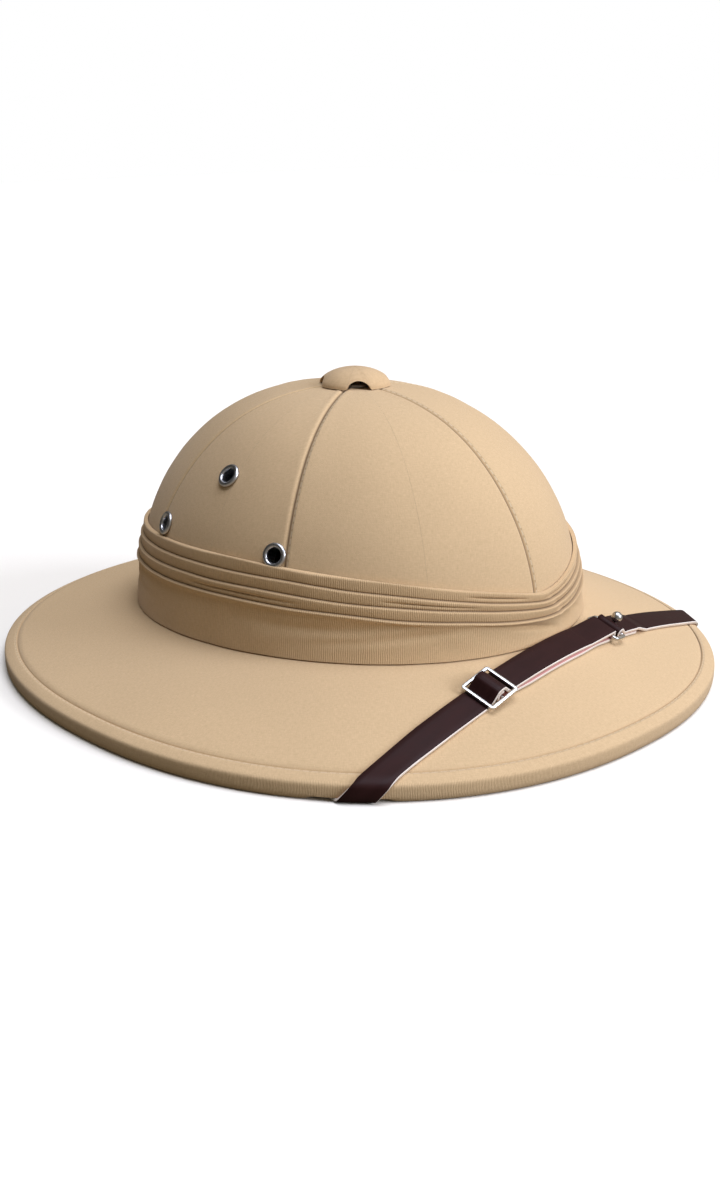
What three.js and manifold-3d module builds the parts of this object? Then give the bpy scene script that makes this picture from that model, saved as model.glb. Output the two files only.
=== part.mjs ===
// Safari hat: a hollow pith crown and brim in khaki cloth, with a pleated cloth band, a vent cap,
// six eyelets and a leather chin strap worn up over the front of the brim.
// Millimetres. The wearer looks along -Y, the wearer's right hand is on -X, and +Z is up.
// The hat stands on its rim, at Z = 0. The rim is pressed up a little where the strap turns under it.
import * as THREE from 'three';
import { mergeVertices } from 'three/addons/utils/BufferGeometryUtils.js';
import Module from 'manifold-3d';

const wasm = await Module();
wasm.setup();

// Fits and joints
const GAP = 0.35;
const DEGREE = Math.PI / 180;

// Crown: half axes where it meets the brim, height over the base level, and how its side rounds over
const CROWN_HALF_LENGTH = 118;
const CROWN_HALF_WIDTH = 100.4;
const CROWN_HEIGHT = 105.4;
const CROWN_WALL = 4.5;
const CROWN_TAPER = 1.95;
const CROWN_ROUNDNESS = 2.44;
const BASE_LEVEL = 28.3;
const SEAM_TURNS = [0, 66.5, 113.5, 180, 246.5, 293.5];
const SEAM_DEPTH = 0.7;
const SEAM_HALF_WIDTH = 1.3;
const COLUMN_STEP = 10;
const CROWN_ROWS = 12;
const CROWN_INNER_ROWS = 8;

// The line where crown and brim meet rises to the front and falls to the back
const JUNCTION_FRONT_RISE = 6;
const JUNCTION_SIDE_RISE = 1.2;

// Brim and rim
const RIM_HALF_LENGTH = 175;
const RIM_HALF_WIDTH = 165;
const RIM_SQUARENESS = 2.2;
const BRIM_THICKNESS = 6.4;
const BRIM_CURVE = 0.15;
const BRIM_COLUMNS = 56;
const BRIM_TOP_SHARES = [0.33, 0.67];

// Cloth band
const BAND_SEAT = 1.8;
const BAND_SEAT_HEIGHT = 55;
const BAND_CROSSING = -3.6;
const BAND_COLUMN_STEP = 6;
const BAND_CLEARANCE = 0.65;
const BAND_BACK_SHARES = [0, 0.35, 0.7, 1];
const FOLD_EDGE = { over: 0.25, under: 0.35 };
const BAND_HEM = { rise: 6, thickness: 1.8 };

// Chin strap: its line over the brim lies this far forward, and bends back towards the wearer's left
const STRAP_WIDTH = 13.2;
const STRAP_THICKNESS = 1.4;
const STRAP_FORWARD = 129;
const STRAP_BEND = { from: 105, span: 227, back: 18.5, power: 2.15 };
const STRAP_STEP = 9;
const HALF = STRAP_THICKNESS / 2;
const TURNS = {
  right: { side: 1, slant: 36 },
  left: { side: -1, slant: 43 },
};
const DENT = STRAP_THICKNESS + GAP + 0.15;
const DENT_RAMP = 9;
const STRAP_FEEL = 0.5;

// Vent cap and collar
const VENT_HOLE_RADIUS = 9.4;
const CAP_RADIUS = 17.5;
const CAP_HEIGHT = 8.2;
const CAP_WALL = 1.6;
const CAP_ARCHES = 4;
const CAP_ARCH_TURN = 38;
const CAP_COLUMNS = 36;
const CAP_ARCH_HALF_ANGLE = 19;
const CAP_ARCH_HEIGHT = 3.9;
const CAP_STEM_RADIUS = 2.2;
const COLLAR_BAR_DROP = 3.4;
const COLLAR_BAR_THICKNESS = 1.3;
const COLLAR_BAR_WIDTH = 4.6;
const COLLAR_BAR_INSET = 0.3;
const COLLAR = { wall: 0.8, flange: 3.2, edge: 2.6, thickness: 1, underThickness: 0.8, slack: 0.3, sides: 28 };
const CAP_SHARES = [0, 0.22, 0.45, 0.68, 0.86, 0.96];
const CAP_INNER_ROWS = 5;
const CAP_DOME_POWER = 1.7;
const CAP_STEM_GAP = 0.3;

// Eyelets: a set of three on each side
const EYELET_RADIUS = 5.7;
const EYELET_HOLE_RADIUS = 3.4;
const EYELET_TUBE_RADIUS = 4.1;
const EYELET_ROLL = 1.5;
const EYELET_SIDES = 12;
const EYELET_BEVEL = 0.3;
const EYELET_ROLL_RISE = 0.9;
const EYELET_LIP = { rise: 0.8, step: 1 };
const EYELET_BACK = { stand: 1.1, thickness: 0.8 };
const EYELET_BORE = { from: -12, to: 4, sides: 20 };
const EYELET_BITE = { from: -3, to: 6, sides: 24 };
const EYELETS = [
  { name: 'upper', turn: 91.5, rise: 72.7 },
  { name: 'front', turn: 69.3, rise: 46.2 },
  { name: 'rear', turn: 110.5, rise: 45.4 },
];

// Slide buckle, loop and stud on the strap; right is the wearer's right of the hat's middle
const BUCKLE = { right: 47, length: 17.4, width: 18, bar: 1.9, thickness: 1.3, middleBar: 1.4 };
const LOOP = { right: -41, length: 9.6, width: 18.6, wire: 0.9, bend: 1.3, outward: 0.3, cornerRows: 3, sides: 8 };
const STUD = { right: -47.9, ball: 2.6, neck: 1.1, lift: 7.6, under: -64, rows: 8, sides: 16 };

const KHAKI = 0xd2b78c;
const KHAKI_BAND = 0xc9ad82;
const LEATHER = 0x3a2727;
const SILVER = 0xc9cacc;
const cloth = (color) => new THREE.MeshStandardMaterial({ color, roughness: 0.9, metalness: 0 });
const leather = () => new THREE.MeshStandardMaterial({ color: LEATHER, roughness: 0.45, metalness: 0 });
const metal = () => new THREE.MeshStandardMaterial({ color: SILVER, roughness: 0.3, metalness: 1 });

const hat = new THREE.Group();

function add(name, geometry, material) {
  const mesh = new THREE.Mesh(geometry, material);
  mesh.name = name;
  hat.add(mesh);
}

// A point from distances forward, to the wearer's right, and up
function place(forward, right, up) {
  return new THREE.Vector3(-right, -forward, up);
}

function smooth(value) {
  const t = THREE.MathUtils.clamp(value, 0, 1);
  return t * t * (3 - 2 * t);
}

// Closed solids from rings of points
function solid(points, triangles) {
  const geometry = new THREE.BufferGeometry();
  geometry.setAttribute('position', new THREE.Float32BufferAttribute(points.flatMap((p) => p.toArray()), 3));
  geometry.setIndex(triangles);
  return closed(geometry);
}

function closed(source) {
  const bare = source.clone();
  bare.deleteAttribute('normal');
  bare.deleteAttribute('uv');
  const geometry = mergeVertices(bare, 1e-4);
  const index = Array.from(geometry.index.array);
  const kept = [];
  for (let i = 0; i < index.length; i += 3) {
    const [a, b, c] = [index[i], index[i + 1], index[i + 2]];
    if (a !== b && b !== c && c !== a) {
      kept.push(a, b, c);
    }
  }
  geometry.setIndex(volume(geometry, kept) < 0 ? kept.reverse() : kept);
  geometry.computeVertexNormals();
  return geometry;
}

function volume(geometry, index) {
  const position = geometry.getAttribute('position');
  const [a, b, c] = [new THREE.Vector3(), new THREE.Vector3(), new THREE.Vector3()];
  let sum = 0;
  for (let i = 0; i < index.length; i += 3) {
    a.fromBufferAttribute(position, index[i]);
    b.fromBufferAttribute(position, index[i + 1]);
    c.fromBufferAttribute(position, index[i + 2]);
    sum += a.dot(b.cross(c));
  }
  return sum;
}

// Rings joined in order; the last meets the first again when looped, or else both ends are capped
function rings(sections, looped) {
  const count = sections[0].length;
  const triangles = [];
  const last = looped ? sections.length : sections.length - 1;
  for (let i = 0; i < last; i += 1) {
    const here = i * count;
    const next = ((i + 1) % sections.length) * count;
    for (let j = 0; j < count; j += 1) {
      const k = (j + 1) % count;
      triangles.push(here + j, next + j, next + k, here + j, next + k, here + k);
    }
  }
  if (!looped) {
    const end = (sections.length - 1) * count;
    for (let j = 1; j < count - 1; j += 1) {
      triangles.push(0, j, j + 1, end, end + j + 1, end + j);
    }
  }
  return solid(sections.flat(), triangles);
}

function toManifold(geometry) {
  const mesh = new wasm.Mesh({
    numProp: 3,
    vertProperties: new Float32Array(geometry.getAttribute('position').array),
    triVerts: new Uint32Array(geometry.index.array),
  });
  return new wasm.Manifold(mesh);
}

function fromManifold(body) {
  const mesh = body.getMesh();
  const geometry = new THREE.BufferGeometry();
  geometry.setAttribute('position', new THREE.BufferAttribute(new Float32Array(mesh.vertProperties), 3));
  geometry.setIndex(Array.from(mesh.triVerts));
  geometry.computeVertexNormals();
  return geometry;
}

function cut(geometry, tools) {
  return fromManifold(tools.reduce((body, tool) => body.subtract(toManifold(tool)), toManifold(geometry)));
}

function join(first, second) {
  return fromManifold(toManifold(first).add(toManifold(second)));
}

// A round piece turned about Z from a closed profile of [radius, height] pairs
function turned(profile, sides) {
  const outline = profile.map(([radius, height]) => new THREE.Vector2(radius, height));
  const lathe = new THREE.LatheGeometry([...outline, outline[0]], sides);
  return closed(lathe.rotateX(Math.PI / 2));
}

// Moves a piece made about the origin, facing +Z, to a place facing a direction
function seat(geometry, point, facing) {
  const turn = new THREE.Quaternion().setFromUnitVectors(new THREE.Vector3(0, 0, 1), facing);
  return geometry.applyQuaternion(turn).translate(point.x, point.y, point.z);
}

function bore(radius, { from, to, sides }) {
  const profile = [[0, from], [radius, from], [radius, to], [0, to]];
  return turned(profile, sides);
}

// Crown surface
function junctionLevel(turn) {
  return BASE_LEVEL + JUNCTION_FRONT_RISE * Math.cos(turn) - JUNCTION_SIDE_RISE * Math.cos(2 * turn);
}

function crownShare(rise) {
  const t = THREE.MathUtils.clamp(rise, 0, 1);
  return (1 - t ** CROWN_TAPER) ** (1 / CROWN_ROUNDNESS);
}

function bandSeat(up) {
  return BAND_SEAT * (1 - smooth((up - BASE_LEVEL) / BAND_SEAT_HEIGHT));
}

function crownPoint(turn, up, inset = 0) {
  const share = crownShare((up - BASE_LEVEL) / (CROWN_HEIGHT - inset));
  const drawnIn = inset + bandSeat(up);
  const forward = (CROWN_HALF_LENGTH - drawnIn) * share * Math.cos(turn);
  const right = (CROWN_HALF_WIDTH - drawnIn) * share * Math.sin(turn);
  return place(forward, right, up);
}

function crownLevelAt(radius, turn, inset = 0) {
  const reach = 1 / Math.hypot(Math.cos(turn) / (CROWN_HALF_LENGTH - inset),
    Math.sin(turn) / (CROWN_HALF_WIDTH - inset));
  const share = Math.min(radius / reach, 1);
  return BASE_LEVEL + (CROWN_HEIGHT - inset) * (1 - share ** CROWN_ROUNDNESS) ** (1 / CROWN_TAPER);
}

// The level direction square to the crown's side, and the full surface normal
function sideways(turn) {
  return place(Math.cos(turn) / CROWN_HALF_LENGTH, Math.sin(turn) / CROWN_HALF_WIDTH, 0).normalize();
}

function crownNormal(turn, up) {
  const step = 0.01;
  const along = crownPoint(turn + step, up).sub(crownPoint(turn - step, up));
  const rising = crownPoint(turn, up + step).sub(crownPoint(turn, up - step));
  const normal = along.cross(rising).normalize();
  return normal.dot(sideways(turn)) < 0 ? normal.negate() : normal;
}

function crownColumns() {
  const columns = [];
  SEAM_TURNS.forEach((seam, i) => {
    const next = i + 1 < SEAM_TURNS.length ? SEAM_TURNS[i + 1] : 360;
    const from = seam + SEAM_HALF_WIDTH;
    const to = next - SEAM_HALF_WIDTH;
    const steps = Math.round((to - from) / COLUMN_STEP);
    columns.push({ turn: seam * DEGREE, dip: SEAM_DEPTH });
    for (let k = 0; k <= steps; k += 1) {
      columns.push({ turn: (from + ((to - from) * k) / steps) * DEGREE, dip: 0 });
    }
  });
  return columns;
}

function crownRows(inset, count) {
  const rows = [];
  for (let i = 1; i < count; i += 1) {
    const climb = Math.sin((i / count) * 90 * DEGREE) ** (2 / CROWN_TAPER);
    rows.push(BASE_LEVEL + (CROWN_HEIGHT - inset) * climb);
  }
  return rows;
}

function crownSection({ turn, dip }) {
  const foot = junctionLevel(turn) + GAP;
  const section = [foot, ...crownRows(0, CROWN_ROWS)].map((up) => {
    const point = crownPoint(turn, up);
    const share = crownShare((up - BASE_LEVEL) / CROWN_HEIGHT);
    return point.addScaledVector(sideways(turn), -dip * share);
  });
  const hole = (up) => place(VENT_HOLE_RADIUS * Math.cos(turn), VENT_HOLE_RADIUS * Math.sin(turn), up);
  section.push(hole(crownLevelAt(VENT_HOLE_RADIUS, turn)));
  section.push(hole(crownLevelAt(VENT_HOLE_RADIUS, turn, CROWN_WALL)));
  const inner = [foot, ...crownRows(CROWN_WALL, CROWN_INNER_ROWS)].map((up) => crownPoint(turn, up, CROWN_WALL));
  section.push(...inner.reverse());
  return section;
}

function buildCrown() {
  const shell = rings(crownColumns().map(crownSection), true);
  const holes = eyeletPlaces().map(({ point, facing }) => (
    seat(bore(EYELET_TUBE_RADIUS + GAP, EYELET_BORE), point, facing)));
  add('crown', cut(shell, [...holes, rivetHole(1), rivetHole(-1)]), cloth(KHAKI));
}

// Brim: its top surface under any point of the plan
function rimReach(forward, right, inset) {
  const level = ((Math.abs(forward) / (RIM_HALF_LENGTH - inset)) ** RIM_SQUARENESS
    + (Math.abs(right) / (RIM_HALF_WIDTH - inset)) ** RIM_SQUARENESS) ** (1 / RIM_SQUARENESS);
  return 1 / level;
}

// The rim's section from the brim's seam, over the shoulder and the face, to the underside:
// distance in from the outer edge, height over the ground, and which rows the strap presses up
const RIM_SECTION = [
  { inset: 6.7, up: 10.6 },
  { inset: 6.2, up: 9.9 },
  { inset: 5.6, up: 10.3 },
  { inset: 2.4, up: 8.9 },
  { inset: 0.8, up: 7.9 },
  { inset: 0.1, up: 6.7 },
  { inset: 0, up: 3 },
  { inset: 0.7, up: 0.9, pressed: true },
  { inset: 2.2, up: 0, pressed: true },
  { inset: 5.2, up: 0, pressed: true },
  { inset: 9.6, up: 3.2 },
];
const SEAM_INSET = RIM_SECTION[0].inset;
const SEAM_UP = RIM_SECTION[0].up;

function brimTop(forward, right) {
  const turn = Math.atan2(right / CROWN_HALF_WIDTH, forward / CROWN_HALF_LENGTH);
  const crownEdge = 1 / Math.hypot(forward / CROWN_HALF_LENGTH, right / CROWN_HALF_WIDTH);
  const seamEdge = rimReach(forward, right, SEAM_INSET);
  const out = (1 - crownEdge) / (seamEdge - crownEdge);
  const from = junctionLevel(turn);
  return from + (SEAM_UP - from) * (out * (1 - BRIM_CURVE) + out * out * BRIM_CURVE);
}

function brimSection(angle) {
  const [forward, right] = [Math.cos(angle), Math.sin(angle)];
  const turn = Math.atan2(right / CROWN_HALF_WIDTH, forward / CROWN_HALF_LENGTH);
  const crownEdge = 1 / Math.hypot(forward / CROWN_HALF_LENGTH, right / CROWN_HALF_WIDTH);
  const edge = rimReach(forward, right, 0);
  const seam = rimReach(forward, right, SEAM_INSET);
  const at = (distance, up) => place(forward * distance, right * distance, up);
  const inner = crownEdge - CROWN_WALL - BAND_SEAT;
  const section = [at(inner, junctionLevel(turn)), at(crownEdge, junctionLevel(turn))];
  BRIM_TOP_SHARES.forEach((share) => {
    const distance = crownEdge + (seam - crownEdge) * share;
    section.push(at(distance, brimTop(forward * distance, right * distance)));
  });
  RIM_SECTION.forEach(({ inset, up, pressed }) => {
    const scaled = inset * ((edge - seam) / SEAM_INSET);
    section.push(at(edge - scaled, up + (pressed ? dentAt(angle) : 0)));
  });
  section.push(at(inner, junctionLevel(turn) - BRIM_THICKNESS));
  return section;
}

// Columns stand at even angles round the brim, with more of them at the two dents
function brimAngles() {
  const even = Array.from({ length: BRIM_COLUMNS }, (_, i) => (i / BRIM_COLUMNS) * 2 * Math.PI);
  const extra = Object.values(TURNS).flatMap((turn) => {
    const { from, to, ramp } = dentSpan(turn);
    return [from - ramp, from - ramp / 2, from, to, to + ramp / 2, to + ramp].map((angle) => (
      THREE.MathUtils.euclideanModulo(turn.side * angle, 2 * Math.PI)));
  });
  const kept = even.filter((angle) => extra.every((other) => Math.abs(angle - other) > 1.2 * DEGREE));
  return [...kept, ...extra].sort((a, b) => a - b);
}

function buildBrim() {
  add('brim', rings(brimAngles().map(brimSection), true), cloth(KHAKI));
}

// Band: each fold line stands this far over the crown's foot at the sides and at the front crossing,
// and the cloth is this thick just under the fold's edge and just over it
const BAND_FOLDS = [
  { side: 24, front: 9.3, under: 2.5, over: 1.5 },
  { side: 29.7, front: 13.7, under: 2.2, over: 1.3 },
  { side: 35.2, front: 17.5, under: 2, over: 1.1 },
  { side: 41, front: 21.5, under: 1.8, over: 0 },
];
const BAND_FOOT_THICKNESS = 1.6;
const BAND_NARROWING = 100 * DEGREE;

function fromCrossing(turn) {
  const away = Math.abs(turn - BAND_CROSSING * DEGREE) % (2 * Math.PI);
  return Math.min(away, 2 * Math.PI - away);
}

function foldLevel(fold, turn) {
  const near = Math.max(0, 1 - fromCrossing(turn) / BAND_NARROWING);
  return junctionLevel(turn) + fold.side - (fold.side - fold.front) * near * near;
}

function bandSection(turn) {
  const skin = (up, thickness) => crownPoint(turn, up).addScaledVector(sideways(turn), GAP + thickness);
  const foot = junctionLevel(turn) + GAP;
  const top = foldLevel(BAND_FOLDS.at(-1), turn);
  const section = BAND_BACK_SHARES.map((share) => {
    const up = foot + (top - foot) * share;
    return crownPoint(turn, up).addScaledVector(sideways(turn), BAND_CLEARANCE);
  });
  [...BAND_FOLDS].reverse().forEach((fold) => {
    const level = foldLevel(fold, turn);
    if (fold.over > 0) {
      section.push(skin(level + FOLD_EDGE.over, fold.over));
    }
    section.push(skin(level - FOLD_EDGE.under, fold.under));
  });
  section.push(skin(foot + BAND_HEM.rise, BAND_HEM.thickness), skin(foot, BAND_FOOT_THICKNESS));
  return section;
}

function buildBand() {
  const count = Math.round(360 / BAND_COLUMN_STEP);
  const sections = [];
  for (let i = 0; i < count; i += 1) {
    sections.push(bandSection((BAND_CROSSING + (i * 360) / count) * DEGREE));
  }
  const bites = eyeletPlaces().map(({ point, facing }) => (
    seat(bore(EYELET_RADIUS + GAP, EYELET_BITE), point, facing)));
  add('pugree_band', cut(rings(sections, true), bites), cloth(KHAKI_BAND));
}

// Eyelets
function eyeletPlaces() {
  return ['right', 'left'].flatMap((side) => EYELETS.map(({ name, turn, rise }) => {
    const angle = (side === 'right' ? turn : -turn) * DEGREE;
    const up = BASE_LEVEL + rise;
    return { name: `eyelet_${side}_${name}`, point: crownPoint(angle, up), facing: crownNormal(angle, up) };
  }));
}

function buildEyelets() {
  const back = -CROWN_WALL - GAP - EYELET_BACK.stand;
  const profile = [
    [EYELET_HOLE_RADIUS, back - EYELET_BACK.thickness],
    [EYELET_RADIUS - EYELET_BEVEL, back - EYELET_BACK.thickness],
    [EYELET_RADIUS - EYELET_BEVEL, back],
    [EYELET_TUBE_RADIUS, back],
    [EYELET_TUBE_RADIUS, GAP],
    [EYELET_RADIUS, GAP],
    [EYELET_RADIUS - EYELET_BEVEL, GAP + EYELET_ROLL_RISE],
    [EYELET_RADIUS - EYELET_LIP.step, GAP + EYELET_ROLL],
    [EYELET_HOLE_RADIUS, GAP + EYELET_LIP.rise],
  ];
  eyeletPlaces().forEach(({ name, point, facing }) => {
    add(name, seat(turned(profile, EYELET_SIDES), point, facing), metal());
  });
}

// Vent collar in the crown's top hole, with the bar that carries the cap's stem
const CROWN_TOP = crownLevelAt(VENT_HOLE_RADIUS, 0);

function buildVent() {
  const tube = VENT_HOLE_RADIUS - GAP;
  const under = crownLevelAt(VENT_HOLE_RADIUS, Math.PI / 2, CROWN_WALL) - GAP - COLLAR.slack;
  const ring = turned([
    [tube - COLLAR.wall, under - COLLAR.underThickness],
    [tube + COLLAR.edge, under - COLLAR.underThickness],
    [tube + COLLAR.edge, under],
    [tube, under],
    [tube, CROWN_TOP + GAP],
    [tube + COLLAR.flange, CROWN_TOP + GAP],
    [tube + COLLAR.edge, CROWN_TOP + GAP + COLLAR.thickness],
    [tube - COLLAR.wall, CROWN_TOP + GAP + COLLAR.thickness],
  ], COLLAR.sides);
  const barTop = CROWN_TOP - COLLAR_BAR_DROP;
  const barLength = 2 * (tube - COLLAR_BAR_INSET);
  const bar = closed(new THREE.BoxGeometry(barLength, COLLAR_BAR_WIDTH, COLLAR_BAR_THICKNESS))
    .translate(0, 0, barTop - COLLAR_BAR_THICKNESS / 2);
  add('vent_collar', join(ring, bar), metal());

  const sections = [];
  for (let i = 0; i < CAP_COLUMNS; i += 1) {
    sections.push(capSection(((i + 0.5) / CAP_COLUMNS) * 2 * Math.PI, barTop));
  }
  add('vent_cap', rings(sections, true), cloth(KHAKI));
}

function capArch(turn) {
  const spacing = (2 * Math.PI) / CAP_ARCHES;
  const off = THREE.MathUtils.euclideanModulo(turn - CAP_ARCH_TURN * DEGREE + spacing / 2, spacing) - spacing / 2;
  const share = off / (CAP_ARCH_HALF_ANGLE * DEGREE);
  return CAP_ARCH_HEIGHT * Math.sqrt(Math.max(0, 1 - share * share));
}

function capSection(turn, barTop) {
  const foot = crownLevelAt(CAP_RADIUS, 0) + GAP;
  const at = (radius, up) => place(radius * Math.cos(turn), radius * Math.sin(turn), up);
  const shell = (inset, share) => {
    const lift = capArch(turn);
    const height = CAP_HEIGHT - inset;
    const up = lift + (height - lift) * share;
    const radius = (CAP_RADIUS - inset) * Math.sqrt(Math.max(0, 1 - (up / height) ** CAP_DOME_POWER));
    return at(radius, foot + up);
  };
  const outer = CAP_SHARES.map((share) => shell(0, share));
  const inner = CAP_SHARES.slice(0, CAP_INNER_ROWS).map((share) => shell(CAP_WALL, share));
  const roof = foot + CAP_HEIGHT - CAP_WALL;
  return [
    ...outer,
    at(0, foot + CAP_HEIGHT),
    at(0, barTop + GAP),
    at(CAP_STEM_RADIUS, barTop + GAP),
    at(CAP_STEM_RADIUS, roof - CAP_STEM_GAP),
    ...inner.reverse(),
  ];
}

// Chin strap: its line over the brim, by the distance to the wearer's right of the middle
function strapForward(right) {
  const bend = Math.max(0, STRAP_BEND.from - right) / STRAP_BEND.span;
  return STRAP_FORWARD - STRAP_BEND.back * bend ** STRAP_BEND.power;
}

// The frame on the brim under the strap: x runs to the wearer's right, y outwards, z off the brim
function deck(right) {
  const step = STRAP_FEEL;
  const ground = (r, shift = 0) => {
    const forward = strapForward(r) + shift;
    return place(forward, r, brimTop(forward, r));
  };
  const run = ground(right + step).sub(ground(right - step)).normalize();
  const slope = ground(right, step).sub(ground(right, -step));
  const y = slope.addScaledVector(run, -slope.dot(run)).normalize();
  const z = new THREE.Vector3().crossVectors(run, y).normalize();
  return { origin: ground(right), x: run, y, z };
}

function onDeck(geometry, right, lift) {
  const { origin, x, y, z } = deck(right);
  const matrix = new THREE.Matrix4().makeBasis(x, y, z);
  matrix.setPosition(origin.addScaledVector(z, lift));
  return geometry.applyMatrix4(matrix);
}

// A strap is a list of rows across it, each with the place of its two edges at mid thickness;
// on the brim the first edge is the outer one
function across(centre, direction, half = STRAP_WIDTH / 2) {
  return {
    first: centre.clone().addScaledVector(direction, half),
    second: centre.clone().addScaledVector(direction, -half),
  };
}

function deckRows(path) {
  return path.map(({ right, lift }) => {
    const { origin, y, z } = deck(right);
    return across(origin.addScaledVector(z, lift), y);
  });
}

function middle({ first, second }) {
  return first.clone().add(second).multiplyScalar(0.5);
}

function ribbon(rows) {
  const sections = rows.map(({ first, second }, i) => {
    const run = middle(rows[Math.min(i + 1, rows.length - 1)]).sub(middle(rows[Math.max(i - 1, 0)]));
    const face = run.cross(first.clone().sub(second)).normalize().multiplyScalar(HALF);
    const outside = [first.clone().add(face), second.clone().add(face)];
    return [...outside, second.clone().sub(face), first.clone().sub(face)];
  });
  return rings(sections, false);
}

function arc(centreRight, centreLift, radius, { from, to, steps }) {
  const path = [];
  for (let i = 0; i <= steps; i += 1) {
    const angle = (from + ((to - from) * i) / steps) * DEGREE;
    path.push({ right: centreRight + radius * Math.cos(angle), lift: centreLift + radius * Math.sin(angle) });
  }
  return path;
}

function straight(fromRight, toRight, lift) {
  const path = [];
  const steps = Math.max(1, Math.round(Math.abs(fromRight - toRight) / STRAP_STEP));
  for (let i = 0; i <= steps; i += 1) {
    path.push({ right: fromRight + ((toRight - fromRight) * i) / steps, lift });
  }
  return path;
}

// The strap's turn round the rim: distance in from the edge and height over the foot, at mid thickness
const RIM_STAND_OFF = GAP + HALF + 0.3;
const UNDER_RIM = DENT - GAP - HALF;
const TURN_SECTION = [
  { inset: 10.5, up: 12.1 + GAP + HALF },
  { inset: 6.4, up: 10.8 + GAP + HALF },
  { inset: 2.2, up: 9.2 + GAP + HALF },
  { inset: 0, up: 8.3 + HALF },
  { inset: 0.3 - RIM_STAND_OFF, up: 7.8 },
  { inset: -RIM_STAND_OFF, up: 6.4 },
  { inset: -RIM_STAND_OFF, up: 3.4 },
  { inset: -0.6, up: 1.5 },
  { inset: 1.6, up: UNDER_RIM },
  { inset: 5.6, up: UNDER_RIM },
];
const UNDER_ROWS = 2;
const STRAIGHT_ROWS = 2;
const FIRST_ROW_WIDENING = 1.2;

// A point and the outward direction on the rim's plan, as (forward, right), by angle from the front
function rimPoint(angle) {
  const reach = rimReach(Math.cos(angle), Math.sin(angle), 0);
  return new THREE.Vector2(reach * Math.cos(angle), reach * Math.sin(angle));
}

function rimOutward(angle) {
  const { x, y } = rimPoint(angle);
  const power = RIM_SQUARENESS - 1;
  const pull = (value, half) => (Math.sign(value) * Math.abs(value) ** power) / half ** RIM_SQUARENESS;
  return new THREE.Vector2(pull(x, RIM_HALF_LENGTH), pull(y, RIM_HALF_WIDTH)).normalize();
}

function atRim(angle, inset, up) {
  const spot = rimPoint(angle).addScaledVector(rimOutward(angle), -inset);
  return place(spot.x, spot.y, up);
}

// Where the strap's outer edge crosses a line at an inset round the rim: the angle from the front
function crossingAngle(side, inset) {
  let low = 20 * DEGREE;
  let high = 75 * DEGREE;
  while (high - low > 1e-6) {
    const half = (low + high) / 2;
    const spot = atRim(side * half, inset, 0);
    const [forward, right] = [-spot.y, -spot.x];
    const slope = strapForward(right + STRAP_FEEL) - strapForward(right - STRAP_FEEL);
    if ((forward - strapForward(right)) / Math.hypot(2 * STRAP_FEEL, slope) > STRAP_WIDTH / 2) {
      low = half;
    } else {
      high = half;
    }
  }
  return low;
}

// The strap crosses the rim at a slant, with its rows along the rim: its outer edge runs straight on
// over the shoulder, and over the face it keeps one slant
function turnAngles({ side, slant }) {
  const reach = rimPoint(side * crossingAngle(side, 0)).length();
  const row = STRAP_WIDTH / Math.cos(slant * DEGREE) / reach;
  const edges = [];
  TURN_SECTION.forEach(({ inset, up }, i) => {
    if (i < STRAIGHT_ROWS) {
      edges.push(crossingAngle(side, inset));
    } else {
      const last = TURN_SECTION[i - 1];
      const step = Math.hypot(inset - last.inset, up - last.up);
      edges.push(edges[i - 1] + (step * Math.tan(slant * DEGREE)) / reach);
    }
  });
  return edges.map((edge, i) => ({ from: edge, to: edge + (i === 0 ? row * FIRST_ROW_WIDENING : row) }));
}

function turnRows(turn) {
  return turnAngles(turn).map(({ from, to }, i) => {
    const { inset, up } = TURN_SECTION[i];
    return { first: atRim(turn.side * from, inset, up), second: atRim(turn.side * to, inset, up) };
  });
}

// The dent in the rim's foot spans the rows of the turn that lie under it
function dentSpan(turn) {
  const under = turnAngles(turn).slice(-UNDER_ROWS - 1);
  const ramp = DENT_RAMP / rimPoint(turn.side * under[0].from).length();
  return { from: under[0].from, to: under.at(-1).to, ramp };
}

function dentAt(angle) {
  const signed = THREE.MathUtils.euclideanModulo(angle + Math.PI, 2 * Math.PI) - Math.PI;
  const depths = Object.values(TURNS).map((turn) => {
    const { from, to, ramp } = dentSpan(turn);
    const away = Math.max(from - turn.side * signed, turn.side * signed - to, 0);
    return DENT * (1 - smooth(away / ramp));
  });
  return Math.max(...depths);
}

// The hidden stretch runs straight under the brim to the crown's inner edge, and up inside the crown.
// Lean is how far the strap's face has turned from level to upright.
const ENTRY = { forward: 6, right: 89.8, up: 19.5 };
const UNDER_BRIM = [
  { share: 0.25, sag: 1, lean: 10 },
  { share: 0.5, sag: 2.2, lean: 15 },
  { share: 0.75, sag: 2.2, lean: 28 },
  { share: 1, sag: 0, lean: 66 },
];
const INSIDE_CROWN = [
  { forward: -9, right: 90.6, up: 30, lean: 82 },
  { forward: -18, right: 90, up: 39, lean: 84 },
  { forward: -24, right: 88.9, up: 45, lean: 84 },
];
const HIDDEN_STEPS = 3;
const RIVET = { head: 3.6, bevel: 0.4, headThickness: 1, shank: 1.5, depth: 3, seat: 4, sides: 16 };
const RIVET_AT = { forward: -18, right: 90, up: 39 };

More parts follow.
